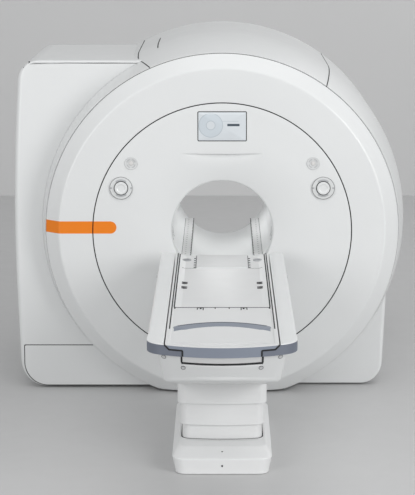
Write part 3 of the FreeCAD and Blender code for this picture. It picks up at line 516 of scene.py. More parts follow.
def soft_step(tree, value, low, high):
    """Smooth change from 0 at low to 1 at high."""
    return put(tree, "ShaderNodeMapRange", {"Value": value, "From Min": low, "From Max": high},
               interpolation_type="SMOOTHSTEP").outputs["Result"]


def group(name, inputs, outputs, build):
    """A shader node group, built once. inputs gives each number's default, or None for a vector."""
    if name in bpy.data.node_groups:
        return bpy.data.node_groups[name]
    tree = bpy.data.node_groups.new(name, "ShaderNodeTree")
    for label, default in inputs.items():
        kind = "NodeSocketVector" if default is None else "NodeSocketFloat"
        socket = tree.interface.new_socket(label, in_out="INPUT", socket_type=kind)
        if default is not None:
            socket.default_value = default
    for label in outputs:
        tree.interface.new_socket(label, in_out="OUTPUT", socket_type="NodeSocketFloat")
    source, sink = tree.nodes.new("NodeGroupInput"), tree.nodes.new("NodeGroupOutput")
    for label, value in build(tree, source.outputs).items():
        tree.links.new(value, sink.inputs[label])
    return tree


def surface_grain():
    """Fine relief, slow changes of tone and hand-wiped gloss of a moulded or painted surface."""
    def build(tree, given):
        place = given["Vector"]
        fine = put(tree, "ShaderNodeTexNoise", {"Vector": place, "Scale": given["Grain"], "Detail": 3.0})
        slow = put(tree, "ShaderNodeTexNoise", {"Vector": place, "Scale": given["Patches"], "Detail": 2.0})
        wipe = put(tree, "ShaderNodeTexNoise", {"Vector": place, "Scale": 7.0, "Detail": 5.0,
                                                "Distortion": 0.6})
        return {"Relief": fine.outputs["Fac"], "Wipe": soft_step(tree, wipe.outputs["Fac"], 0.3, 0.7),
                "Tone": soft_step(tree, slow.outputs["Fac"], 0.25, 0.75)}
    return group("surface_grain", {"Vector": None, "Grain": 900.0, "Patches": 1.4},
                 ("Relief", "Wipe", "Tone"), build)


def bar_mask():
    """1 inside a rounded rectangle seen from the front: the distance to it is the length of the
    positive part of |p - centre| - half size + corner, plus its inner part, minus corner."""
    def build(tree, given):
        offset = vectors(tree, "ABSOLUTE", vectors(tree, "SUBTRACT", given["Vector"], given["Centre"]))
        parts = put(tree, "ShaderNodeSeparateXYZ", {0: offset}).outputs
        a = maths(tree, "ADD", maths(tree, "SUBTRACT", parts[0], given["Half Width"]), given["Corner"])
        b = maths(tree, "ADD", maths(tree, "SUBTRACT", parts[2], given["Half Height"]), given["Corner"])
        over = put(tree, "ShaderNodeCombineXYZ", {0: maths(tree, "MAXIMUM", a, 0.0),
                                                  1: maths(tree, "MAXIMUM", b, 0.0)}).outputs[0]
        under = maths(tree, "MINIMUM", maths(tree, "MAXIMUM", a, b), 0.0)
        gap = maths(tree, "SUBTRACT", maths(tree, "ADD", vectors(tree, "LENGTH", over), under),
                    given["Corner"])
        return {"Mask": soft_step(tree, gap, 0.0006, -0.0006)}
    return group("bar_mask", {"Vector": None, "Centre": None, "Half Width": 0.1, "Half Height": 0.1,
                              "Corner": 0.01}, ("Mask",), build)


def ring_mask():
    """1 on a ring seen from the front, where |distance from the centre - radius| is under half."""
    def build(tree, given):
        offset = vectors(tree, "MULTIPLY", vectors(tree, "SUBTRACT", given["Vector"], given["Centre"]),
                         (1.0, 0.0, 1.0))
        away = maths(tree, "ABSOLUTE",
                     maths(tree, "SUBTRACT", vectors(tree, "LENGTH", offset), given["Radius"]))
        return {"Mask": soft_step(tree, maths(tree, "SUBTRACT", away, given["Half"]), 0.0006, -0.0006)}
    return group("ring_mask", {"Vector": None, "Centre": None, "Radius": 0.1, "Half": 0.01},
                 ("Mask",), build)


def hole_row():
    """1 on small round or long marks in a row along Y, where (a / Half Width)^4 +
    (b / Half Length)^4 is under 1, for the distance a from the line |x| = Line and the distance b
    from the nearest mark's middle."""
    def build(tree, given):
        parts = put(tree, "ShaderNodeSeparateXYZ", {0: given["Vector"]}).outputs
        side = maths(tree, "SUBTRACT", maths(tree, "ABSOLUTE", parts[0]), given["Line"])
        step = maths(tree, "PINGPONG", parts[1], maths(tree, "MULTIPLY", given["Pitch"], 0.5))
        a = maths(tree, "DIVIDE", side, given["Half Width"])
        b = maths(tree, "DIVIDE", step, given["Half Length"])
        far = maths(tree, "ADD", maths(tree, "POWER", maths(tree, "ABSOLUTE", a), 4.0),
                    maths(tree, "POWER", b, 4.0))
        return {"Mask": soft_step(tree, far, 1.2, 0.8)}
    return group("hole_row", {"Vector": None, "Line": 0.2, "Pitch": 0.04, "Half Width": 0.003,
                              "Half Length": 0.003}, ("Mask",), build)


def masked(tree, builder, place, **values):
    """Output of a mask group placed in a material with its own values."""
    sockets = {label.replace("_", " "): value for label, value in values.items()}
    sockets["Vector"] = place
    return put(tree, "ShaderNodeGroup", sockets, node_tree=builder()).outputs["Mask"]


def mixed_colour(tree, share, first, second):
    """Colour between two others. The node's inputs 6 and 7 are its two colours."""
    return put(tree, "ShaderNodeMix", {0: share, 6: first, 7: second}, data_type="RGBA").outputs[2]


def finish(name, tint, roughness, metallic=0.0, grain=1.5, relief=0.02, tone=0.02, patches=1.4,
           stretch=(1.0, 1.0, 1.0), gloss=0.06, coat=0.0, shine=0.5, marks=None):
    """A procedural finish: grain size and relief in millimetres, tone as a share of the colour.

    marks(tree, place) returns (mask, colour) pairs that are laid over the base colour in order.
    """
    title = "finish_" + name
    if title in bpy.data.materials:
        return bpy.data.materials[title]
    material = bpy.data.materials.new(title)
    material.use_nodes = True
    tree = material.node_tree
    tree.nodes.clear()
    sink = tree.nodes.new("ShaderNodeOutputMaterial")
    shader = put(tree, "ShaderNodeBsdfPrincipled", {"Metallic": metallic, "Coat Weight": coat,
                                                    "Specular IOR Level": shine,
                                                    "Coat Roughness": 0.12})
    place = tree.nodes.new("ShaderNodeTexCoord").outputs["Object"]
    pulled = put(tree, "ShaderNodeMapping", {"Vector": place, "Scale": stretch}).outputs[0]
    texture = put(tree, "ShaderNodeGroup", {"Vector": pulled, "Grain": 1 / (grain * MM),
                                            "Patches": patches}, node_tree=surface_grain())
    low, high = (np.clip(np.array(tint) * share, 0, 1) for share in (1 - tone, 1 + tone))
    shade = mixed_colour(tree, texture.outputs["Tone"], (*low, 1), (*high, 1))
    for mask, mark in (marks(tree, place) if marks else ()):
        shade = mixed_colour(tree, mask, shade, (*mark, 1))
    tree.links.new(shade, shader.inputs["Base Color"])
    rough = put(tree, "ShaderNodeMapRange", {"Value": texture.outputs["Wipe"],
                                             "To Min": roughness - gloss / 2,
                                             "To Max": roughness + gloss / 2})
    tree.links.new(rough.outputs["Result"], shader.inputs["Roughness"])
    bump = put(tree, "ShaderNodeBump", {"Height": texture.outputs["Relief"], "Strength": 0.35,
                                        "Distance": relief * MM})
    tree.links.new(bump.outputs["Normal"], shader.inputs["Normal"])
    tree.links.new(shader.outputs["BSDF"], sink.inputs["Surface"])
    return material


PAINT = dict(grain=1.2, relief=0.03, tone=0.012, coat=0.12)


def cover_white(colours):
    return finish("cover_white", colours.covers, 0.36, **PAINT)


def gap_dark(colours):
    return finish("gap_dark", colours.gaps, 0.8, grain=0.8, relief=0.02, tone=0.1, shine=0.12)


def table_white(colours):
    return finish("table_white", colours.table, 0.34, **PAINT)


def band_grey(colours):
    return finish("band_grey", colours.band, 0.42, grain=0.9, relief=0.03, tone=0.04)


def striped_white(sizes, colours):
    """Cover paint with the coloured stripe that runs in from the left and ends round."""
    start = -RING_EDGE * MM
    end = -sizes.stripe_end
    half = sizes.stripe_height / 2

    def marks(tree, place):
        centre = ((start + end) / 2 - half, 0.0, AXIS * MM + sizes.stripe_rise)
        mask = masked(tree, bar_mask, vectors(tree, "MULTIPLY", place, (1.0, 0.0, 1.0)), Centre=centre,
                      Half_Width=(end - start) / 2 + half, Half_Height=half, Corner=half)
        return [(mask, tuple(colours.stripe))]
    return finish("cover_white_striped", colours.covers, 0.36, marks=marks, **PAINT)


# ---- gantry covers ------------------------------------------------------------------------

class SCANNER_OT_front_disc(bpy.types.Operator):
    """Round front cover that curves into the bore, with the crease over the bore"""
    bl_idname = "scanner.front_disc"
    bl_label = "Front Disc"

    def execute(self, context):
        sizes, colours = context.scene.scanner_sizes, context.scene.scanner_colours
        dish = DISC_RADIUS - DISC_RIM
        corner = (dish + BORE_RADIUS) / 2
        mouth = DISC_LIP - 22
        arc = 0.97 * (dish - corner) / math.tan(math.atan2(mouth, corner - BORE_RADIUS) / 2)
        profile = np.concatenate([
            rounded([(DISC_RADIUS, COVER_WALL), (DISC_RADIUS, 0, 2.5), (corner, 0)], step=20.0)[:-1],
            rounded([(DISC_RADIUS, 0), (corner, 0, arc), (BORE_RADIUS, mouth)], step=1.0)[1:-1],
            rounded([(corner, 0), (BORE_RADIUS, mouth, 14), (BORE_RADIUS, DISC_LIP)], step=8.0)[1:]])
        done = along(profile)
        order = np.argsort(profile[:, 0])
        crease_radii = (545, 440)
        zone = np.interp(crease_radii, profile[order, 0], done[order])
        stop_x, stop_z = unit_centre("stop_button_right")
        button = (highest("stop_button_right", "x") - lowest("stop_button_right", "x")) / 2
        stop_far = math.hypot(stop_x, stop_z - AXIS)
        stop_turn = math.atan2(stop_x, stop_z - AXIS)
        across = np.linspace(-1, 1, 17) * (button + 12)
        spread = across / stop_far
        beside = np.interp(stop_far + across, profile[order, 0], done[order])
        places = np.unique(np.concatenate([done, np.linspace(*zone, 40), beside,
                                           np.linspace(zone[0] * 0.02, zone[0], 6)]))
        profile = np.stack([np.interp(places, done, column) for column in profile.T], 1)
        crease_angles = np.radians(np.linspace(-34, 34, 273))
        angles = np.unique(np.concatenate([full_turn(240), crease_angles, stop_turn + spread,
                                           -stop_turn + spread]))
        grid = turned(profile, angles)
        for x, z in (unit_centre("stop_button_" + side) for side in ("left", "right")):
            near = np.hypot(grid[..., 0] - x, grid[..., 2] - z) < button + STOP_POCKET_GAP
            grid[..., 1] += STOP_POCKET * near
        grid[..., 1] += self.brow(grid, sizes)
        piece("front_disc", [grid], striped_white(sizes, colours), "gantry",
              ["front_disc_cover"], wall=COVER_WALL, inside=(0, 4000, AXIS))
        return {"FINISHED"}

    def brow(self, grid, sizes):
        """Step back under a curved line: step (1 - u^2)^1.3 exp(min(v, 0) / 24) / (1 + exp(v))
        at a height v over the line and a share u of its half width."""
        share = grid[..., 0] / (sizes.brow_width / MM / 2)
        fade = np.clip(1 - share ** 2, 0, None) ** 1.3
        line = AXIS + sizes.brow_rise / MM + 7 * share ** 2
        over = grid[..., 2] - line
        step = np.exp(np.clip(over, None, 0) / 24) / (1 + np.exp(np.clip(over, -30, 30)))
        return sizes.brow_step / MM * fade * step


class SCANNER_OT_ring_cover(bpy.types.Operator):
    """Flat ring round the disc with its bevelled outer edge"""
    bl_idname = "scanner.ring_cover"
    bl_label = "Ring Cover"

    def execute(self, context):
        sizes, colours = context.scene.scanner_sizes, context.scene.scanner_colours
        inner = DISC_RADIUS + RING_GAP
        flat = RING_EDGE - RING_CHAMFER
        profile = rounded([(inner, COVER_WALL), (inner, 0, 2.5), (flat, 0, 26),
                           (RING_EDGE, RING_DEPTH - 4, 4), (RING_EDGE - 7, RING_DEPTH - 3)], step=8.0)
        profile = refined(profile, [AXIS - FLOOR_GAP + more for more in (0, 1, 3, 7, 13, 22, 40)])
        angles = np.linspace(-1, 1, 481) * reach(profile[:, :1])
        piece("front_ring", [turned(profile, angles)], striped_white(sizes, colours), "gantry",
              ["front_ring_cover"], wall=3.0, inside=(0, 4000, AXIS))
        self.joints(colours)
        return {"FINISHED"}

    def joints(self, colours):
        """Dark strips seen in the joints at the ring's two edges: closed profiles turned about
        the bore axis, with open ends at the covers' lower edge."""
        inner = DISC_RADIUS + RING_GAP / 2
        outer = RING_EDGE - 9.5
        loops = [[(inner - 7, 8.5), (inner + 7, 8.5), (inner + 7, 11.5), (inner - 7, 11.5)],
                 [(outer - 5, RING_DEPTH - 3), (outer, RING_DEPTH - 3), (outer + 5, RING_DEPTH + 14),
                  (outer - 5, RING_DEPTH + 14)]]
        grids = []
        for loop in loops:
            profile = np.array(loop + loop[:1], float)
            grids.append(turned(profile, np.linspace(-1, 1, 361) * reach(profile[:, :1].max())))
        piece("ring_gaskets", grids, gap_dark(colours), "gantry")


COWL_LEFT = math.radians(-27.0)
COWL_RIGHT = math.radians(35.5)
COWL_BEND = 355.0
COWL_SLANT = 89.7 / 405


def cowl_edges(depth, gap):
    """Angles of the cowl's two ends at a depth: the left one slants inwards in front of its bend."""
    radius = shell_radius_at(depth)
    left = COWL_LEFT + np.arcsin(np.clip(COWL_BEND - depth, 0, None) * COWL_SLANT / radius)
    right = np.full_like(depth, COWL_RIGHT)
    return left - gap / radius, right + gap / radius


class SCANNER_OT_side_shells(bpy.types.Operator):
    """Two side shells and the top cowl between them"""
    bl_idname = "scanner.side_shells"
    bl_label = "Side Shells"

    def execute(self, context):
        colours = context.scene.scanner_colours
        white = cover_white(colours)
        start = RING_DEPTH + SEAM
        depth = np.concatenate([np.linspace(start, COWL_BEND, 12),
                                np.linspace(COWL_BEND, FLARE_DEPTH, 12)[1:],
                                np.linspace(FLARE_DEPTH, SHELL_END, 10)[1:]])
        profile = np.stack([shell_radius_at(depth), depth], 1)
        inner_left, inner_right = cowl_edges(depth, SEAM)
        far = reach(profile[:, 0])
        share = np.linspace(0, 1, 181)
        middle = (0, 0, AXIS)
        left = turned(profile, -far[:, None] + share * (inner_left + far)[:, None])
        right = turned(profile, inner_right[:, None] + share * (far - inner_right)[:, None])
        for name, grid in (("left", left), ("right", right)):
            piece("side_shell_" + name + "_skin", [grid], white, "gantry",
                  ["side_shell_" + name], wall=COVER_WALL, bevel=1.2, inside=middle)
        edge_left, edge_right = cowl_edges(depth, 0.0)
        grid = turned(profile, edge_left[:, None] + share * (edge_right - edge_left)[:, None])
        piece("top_cowl_skin", [grid], white, "gantry", ["top_cowl"], wall=COVER_WALL,
              bevel=1.2, inside=middle)
        self.joints(gap_dark(colours))
        return {"FINISHED"}

    def joints(self, dark):
        """Dark joints at the cowl's two ends and a short one across it: thin closed strips that
        follow an angle along the depth."""
        def strip(angle, depth, width, low, high):
            half = width / 2 / SHELL_RADIUS
            rows = []
            for turn, height in ((-half, low), (-half, high), (half, high), (half, low), (-half, low)):
                radius = shell_radius_at(depth) + height
                rows.append(flat_place(radius * np.sin(angle + turn), depth,
                                       AXIS + radius * np.cos(angle + turn)))
            grid = np.stack(rows)
            ends = [grid[:, :1].mean(0, keepdims=True) + 0 * grid[:, :1],
                    grid[:, -1:].mean(0, keepdims=True) + 0 * grid[:, -1:]]
            return np.concatenate([ends[0], grid, ends[1]], 1)
        depth = np.linspace(RING_DEPTH + SEAM + 1, SHELL_END - 4, 90)
        width, proud, deep = 7.0, 0.3, -9.0
        strips = [strip(edge, depth, width, deep, proud) for edge in cowl_edges(depth, SEAM / 2)]
        short, short_angle = np.linspace(450, 1040, 40), math.radians(-20.4)
        strips.append(strip(np.full(40, short_angle), short, width, -1.0, proud))
        piece("cowl_joints", strips, dark, "gantry")


class SCANNER_OT_rear_cover(bpy.types.Operator):
    """Rear face with a rounded rim, a flared mouth and a round groove"""
    bl_idname = "scanner.rear_cover"
    bl_label = "Rear Cover"

    def execute(self, context):
        colours = context.scene.scanner_colours
        back = GANTRY_LENGTH
        lip = GANTRY_LENGTH - DISC_LIP
        lowest_full = AXIS - FLOOR_GAP
        cut = [(lowest_full + (SHELL_RADIUS - 60 - lowest_full) * share ** 2, back)
               for share in np.linspace(1, 0, 40)]
        cut += [(lowest_full - 3, back), (lowest_full - 12, back), (lowest_full - 40, back)]
        groove = [(DISC_RADIUS + 4, back), (DISC_RADIUS + 3, back - 4), (DISC_RADIUS - 3, back - 4),
                  (DISC_RADIUS - 4, back)]
        profile = rounded([(SHELL_RADIUS, SHELL_END + SEAM), (SHELL_RADIUS, back, 45), *cut, *groove,
                           (BORE_RADIUS, back, 40), (BORE_RADIUS, lip)], step=9.0)
        angles = np.linspace(-1, 1, 361) * reach(profile[:, :1])
        piece("rear_face", [turned(profile, angles)], cover_white(colours), "gantry",
              ["rear_cover"], wall=COVER_WALL, inside=(0, -4000, AXIS))
        return {"FINISHED"}


# ---- cabinet and skirt --------------------------------------------------------------------

CABINET_BASE_X = CABINET_WAIST_X + 45.4
CABINET_TOP_X = CABINET_WAIST_X + 49.4
WAIST_HEIGHT = AXIS + 150
CABINET_FRONT_LOW = 150.0
CABINET_FRONT_HIGH = 275.0


def cabinet_front(height):
    """Depth of the cabinet's leaning front at a height."""
    share = (height - FLOOR_GAP) / (CABINET_TOP - FLOOR_GAP)
    return CABINET_FRONT_LOW + (CABINET_FRONT_HIGH - CABINET_FRONT_LOW) * share


def cabinet_back(height):
    return CABINET_BACK + 0 * height


def cabinet_outline():
    return rounded([(-HIDDEN_X, FLOOR_GAP), (CABINET_BASE_X, FLOOR_GAP, 160),
                    (CABINET_WAIST_X, WAIST_HEIGHT, 12000), (CABINET_TOP_X, CABINET_TOP, 130),
                    (-HIDDEN_X, CABINET_TOP)], step=0.5)


class SCANNER_OT_cabinet(bpy.types.Operator):
    """Equipment cabinet on the left: cover, lid, kick panel and small fasteners"""
    bl_idname = "scanner.cabinet"
    bl_label = "Cabinet"

    def execute(self, context):
        sizes, colours = context.scene.scanner_sizes, context.scene.scanner_colours
        white, dark = cover_white(colours), gap_dark(colours)
        whole = cabinet_outline()
        top = LID_BOTTOM - SEAM
        side_edge, lid_edge = sizes.cabinet_edge / MM, sizes.lid_edge / MM

        def cover_radius(normal):
            return 2 + (side_edge - 2) * np.clip(-normal[:, 0], 0, 1) ** 2

        def lid_radius(normal):
            return 1 + (lid_edge - 1) * np.clip(normal[:, 1] * 0.6 - normal[:, 0], 0, 1)
        cover = np.concatenate([whole[whole[:, 1] < top], [[-HIDDEN_X, top]]])
        lid = np.concatenate([[[-HIDDEN_X, LID_BOTTOM]], whole[whole[:, 1] > LID_BOTTOM]])
        piece("cabinet_skin", [housing(cover, cabinet_front, cabinet_back, cover_radius)], white,
              "gantry", ["cabinet_cover"])
        piece("lid_skin", [housing(lid, cabinet_front, cabinet_back, lid_radius)], white, "gantry",
              ["cabinet_lid"])
        self.joint(dark)
        self.kick(white, dark)
        self.fasteners(white, dark)
        return {"FINISHED"}

    def joint(self, dark):
        """Dark core seen in the joint under the lid, a little inside both."""
        whole = cabinet_outline()
        middle = (whole[:, 1] > LID_BOTTOM - 30) & (whole[:, 1] < CABINET_TOP - 3)
        core = np.concatenate([[[-HIDDEN_X, LID_BOTTOM - 30]], whole[middle],
                               [[-HIDDEN_X, CABINET_TOP - 4]]])
        core[:, 0] += 5
        piece("lid_gasket", [housing(core, lambda h: cabinet_front(h) + 5,
                                     lambda h: CABINET_BACK - 6 + 0 * h,
                                     lambda n: 1 + 0 * n[:, 0], 1.0)], dark, "gantry")

    def kick(self, white, dark):
        """Kick panel: its outline carried from just inside the front to just proud of it."""
        for name, grow, proud, sheet in (("kick_gap", 5.0, 0.5, dark), ("kick_skin", 0.0, 1.6, white)):
            left = CABINET_BASE_X + 21 - grow
            low, high = FLOOR_GAP + 6 - grow, FLOOR_GAP + 250 + grow
            shape = rounded([(-HIDDEN_X, low), (left, low, 140 + grow), (left, high, 8),
                             (-HIDDEN_X, high)], step=3)
            grid = housing(shape, lambda h, p=proud: cabinet_front(h) - p,
                           lambda h: cabinet_front(h) + 3, lambda n: 0.8 + 0 * n[:, 0], 0.5)
            piece(name, [grid], sheet, "gantry",
                  ["kick_panel"] if grow == 0 else [])

    def fasteners(self, white, dark):
        """Caps on the lid and a small latch at its left end."""
        depth, radius = 330, 9
        caps = [slab(circle(x, depth, radius, 24), CABINET_TOP - 1, CABINET_TOP + 1.2, 0.8, flat_place)
                for x in (-1030, -623)]
        piece("lid_caps", caps, white, "gantry")
        latch = slab(box_outline(-1158, -1150, 1945, 1985, 3), -3, 2.0, 0.8,
                     lambda a, b, h: face_place(a, b, h - 6 - cabinet_front(b)))
        piece("lid_latch", [latch], dark, "gantry")


class SCANNER_OT_skirt(bpy.types.Operator):
    """Skirt at the gantry's lower right"""
    bl_idname = "scanner.skirt"
    bl_label = "Right Skirt"

    def execute(self, context):
        sizes, colours = context.scene.scanner_sizes, context.scene.scanner_colours
        edge = sizes.skirt_edge / MM
        front = lowest("right_skirt", "y") - FRONT
        outline = rounded([(HIDDEN_X, FLOOR_GAP), (SKIRT_X - 25, FLOOR_GAP, 130),
                           (SKIRT_X, AXIS - 380), (HIDDEN_X, AXIS - 380)], step=2)
        grid = housing(outline, lambda h: front + 0 * h, cabinet_back,
                       lambda n: 2 + (edge - 2) * np.clip(n[:, 0], 0, 1) ** 2, columns=260)
        piece("skirt_skin", [grid], cover_white(colours), "gantry", ["right_skirt"])
        return {"FINISHED"}


# ---- display and controls -----------------------------------------------------------------

class SCANNER_OT_display(bpy.types.Operator):
    """Display in the disc: dark gasket, housing and a picture of plain rings and bars"""
    bl_idname = "scanner.display"
    bl_label = "Display"

    def execute(self, context):
        colours = context.scene.scanner_colours
        half, low, high = DISPLAY_HALF, DISPLAY_LOW, DISPLAY_HIGH
        gasket = box_outline(-half - 6, half + 6, low - 6, high + 6, 8)
        piece("display_gasket", [slab(gasket, -4, 0.5, 0.3, face_place)], gap_dark(colours), "gantry")
        glass = box_outline(-half - 1, half + 1, low - 1, high + 1, 4)
        piece("display_window", [slab(glass, -4, 2.2, 1.2, face_place)], self.picture(colours), "gantry",
              ["display_screen"])
        dress(["display_housing"], cover_white(colours))
        return {"FINISHED"}

    def picture(self, colours):
        """Pale picture with a plain ring and two small bars."""
        middle = (DISPLAY_LOW + DISPLAY_HIGH) / 2 * MM

        def marks(tree, place):
            flat = vectors(tree, "MULTIPLY", place, (1.0, 0.0, 1.0))
            centre = (-0.067, 0.0, middle + 0.006)
            grey, pale, deep = (0.45, 0.50, 0.54), (0.72, 0.76, 0.79), (0.06, 0.08, 0.10)
            rings = [(0.048, 0.022, (0.56, 0.61, 0.65)), (0.070, 0.002, grey), (0.026, 0.002, grey)]
            bars = [((0.066, 0.0, middle + 0.008), 0.036, 0.007, deep),
                    ((0.046, 0.0, middle + 0.030), 0.050, 0.0012, grey),
                    ((0.0, 0.0, middle + 0.074), 0.134, 0.002, pale)]
            out = [(masked(tree, ring_mask, flat, Centre=centre, Radius=radius, Half=width), tint)
                   for radius, width, tint in rings]
            out += [(masked(tree, bar_mask, flat, Centre=at, Half_Width=a, Half_Height=b, Corner=0.001),
                     tint) for at, a, b, tint in bars]
            return out
        tint = 0.35 * np.array(colours.screen) + 0.42
        return finish("display_picture", tint, 0.12, grain=0.4, relief=0.0, tone=0.03, patches=4.0,
                      coat=0.4, marks=marks)


def unit_centre(node):
    """X and Z of a round unit's axis."""
    low, high = span(node)
    return float(low[0] + high[0]) / 2, float(low[2] + high[2]) / 2


class SCANNER_OT_controls(bpy.types.Operator):
    """Control and stop units: finishes of the CAD pieces, scale rings, printed marks and a dark ring of
    painted shade round each knob
    """
    bl_idname = "scanner.controls"
    bl_label = "Controls"

    def execute(self, context):
        colours = context.scene.scanner_colours
        rim = finish("bezel_white", (0.64, 0.65, 0.65), 0.4, grain=0.8, tone=0.03)
        keys = finish("key_grey", (0.40, 0.41, 0.42), 0.5, grain=0.5, tone=0.05)
        knob = finish("knob_white", colours.covers, 0.3, grain=0.8, tone=0.015, coat=0.2)
        stop = finish("stop_centre", (0.62, 0.61, 0.60), 0.35, grain=0.8, tone=0.03)
        dark = gap_dark(colours)
        dress(["control_bezels"], rim)
        dress(["stop_bezels"], finish("stop_rim", (0.60, 0.61, 0.61), 0.4, grain=0.8, tone=0.03))
        dress(["upper_key_left", "upper_key_right", "lower_key_left", "lower_key_right"], keys)
        dress(["control_knob_left", "control_knob_right"], knob)
        dress(["stop_button_left", "stop_button_right"], stop)
        rings, ticks, segments = [], [], []
        for side in ("left", "right"):
            x, z = unit_centre("control_knob_" + side)
            loop = rounded([(65, -8.2), (65, -9.2, 0.4), (67, -9.0, 0.4), (67, -6.0)], step=30)
            rings.append(turned(np.concatenate([loop, loop[:1]]), full_turn(72), x, z))
            # Painted shade: a dark ring round the knob stands in for the shading on the knob's round
            # sides.
            knob_painted_shade = np.array([(38.6, -3), (38.6, -9.8), (42.4, -9.8), (42.4, -3), (38.6, -3)], float)
            rings.append(turned(knob_painted_shade, full_turn(72), x, z))
            for offset in (-59, 59):
                mark = box_outline(x + offset - 6, x + offset + 6, z - 5, z + 5, 1.5)
                ticks.append(slab(mark, 8.3, 9.0, 0.3, face_place))
            x, z = unit_centre("stop_button_" + side)
            for turn in range(4):
                arc = math.radians(45 + 90 * turn) + np.radians(np.linspace(-30, 30, 13))
                path = np.stack([x + 25 * np.sin(arc), z + 25 * np.cos(arc)], 1)
                segments.append(ribbon(path, 5.0, face_place, 3.2, 5.0))
        piece("control_scale_rings", rings, dark, "gantry")
        piece("control_marks", ticks, keys, "gantry")
        piece("stop_segments", segments, finish("segment_grey", (0.48, 0.485, 0.49), 0.5), "gantry")
        return {"FINISHED"}


# ---- bore ---------------------------------------------------------------------------------

class SCANNER_OT_bore(bpy.types.Operator):
    """Finishes inside the bore: liner, rails with their rows of holes, and ledges"""
    bl_idname = "scanner.bore"
    bl_label = "Bore"

    def execute(self, context):
        colours = context.scene.scanner_colours
        liner = finish("bore_liner", colours.liner, 0.38, grain=1.5, tone=0.015)
        dress(["bore_liner", "bore_ledges"], liner)

        def marks(tree, place):
            dark = tuple(colours.gaps)
            rows = [(0.2205, 0.062, 0.0045, 0.0045), (0.1905, 0.05, 0.0022, 0.014)]
            return [(masked(tree, hole_row, place, Line=line, Pitch=pitch, Half_Width=wide,
                            Half_Length=high), dark) for line, pitch, wide, high in rows]
        dress(["bore_rails"], finish("bore_rails", colours.tray, 0.4, grain=1.2, marks=marks))
        self.rail_details(colours)
        return {"FINISHED"}

    def rail_details(self, colours):
        """Dark joints along both edges of each rail and slots in the bore's sides."""
        top = highest("bore_rails", "z")
        outer = highest("bore_rails", "x")
        start, end = lowest("bore_rails", "y") - FRONT, highest("bore_rails", "y") - FRONT
        strips = [ribbon(np.linspace((x, start + 4), (x, end - 4), 30), 3.4, flat_place, top - 1,
                         top + 0.4) for x in (outer + 0.2, outer - 55)]
        piece("rail_joints", both_sides(strips), gap_dark(colours), "gantry")

        def on_wall(turn, depth, height):
            radius = BORE_RADIUS - height
            return flat_place(radius * np.sin(turn), depth, AXIS + radius * np.cos(turn))
        low, high = math.radians(104), math.radians(92)
        slots = [ribbon(np.linspace((low, depth), (high, depth), 12), 12.0, on_wall, -0.5, 0.6)
                 for depth in (118.0, 232.0)]
        piece("bore_slots", both_sides(slots), gap_dark(colours), "gantry")


# ---- patient table ------------------------------------------------------------------------

def foot_plan(half, foot, head):
    """Plan of the table, from its head on the left round the bowed foot to its head on the right.

    The foot is a straight-sided point, whose tip and corners are rounded: the tip's arc takes up
    bow_share of the half width, and corner_share of it is the corners' radius.
    """
    slope, tip_share, bow_share, corner_share = 0.4286, 0.39, 0.74, 0.3
    apex = foot - half * slope * tip_share
    corner = apex + half * slope
    bow = bow_share * half / math.sin(math.atan(slope))
    return rounded([(-half, head), (-half, corner, corner_share * half), (0, apex, bow),
                    (half, corner, corner_share * half), (half, head)], step=1.5)


def sleeve_plan(half, front, rear):
    """Closed plan of a telescopic sleeve, slightly bowed at the front and rear."""
    bow, corner, apex_share, arc_share = 22.0, 46.0, 0.42, 0.7
    apex = apex_share * bow
    arc = arc_share * half ** 2 / (bow + apex)
    near, far = front + bow, rear - bow
    return rounded([(-half, near, corner), (0, front - apex, arc), (half, near, corner),
                    (half, far, corner), (0, rear + apex, arc), (-half, far, corner)],
                   closed=True, step=3)


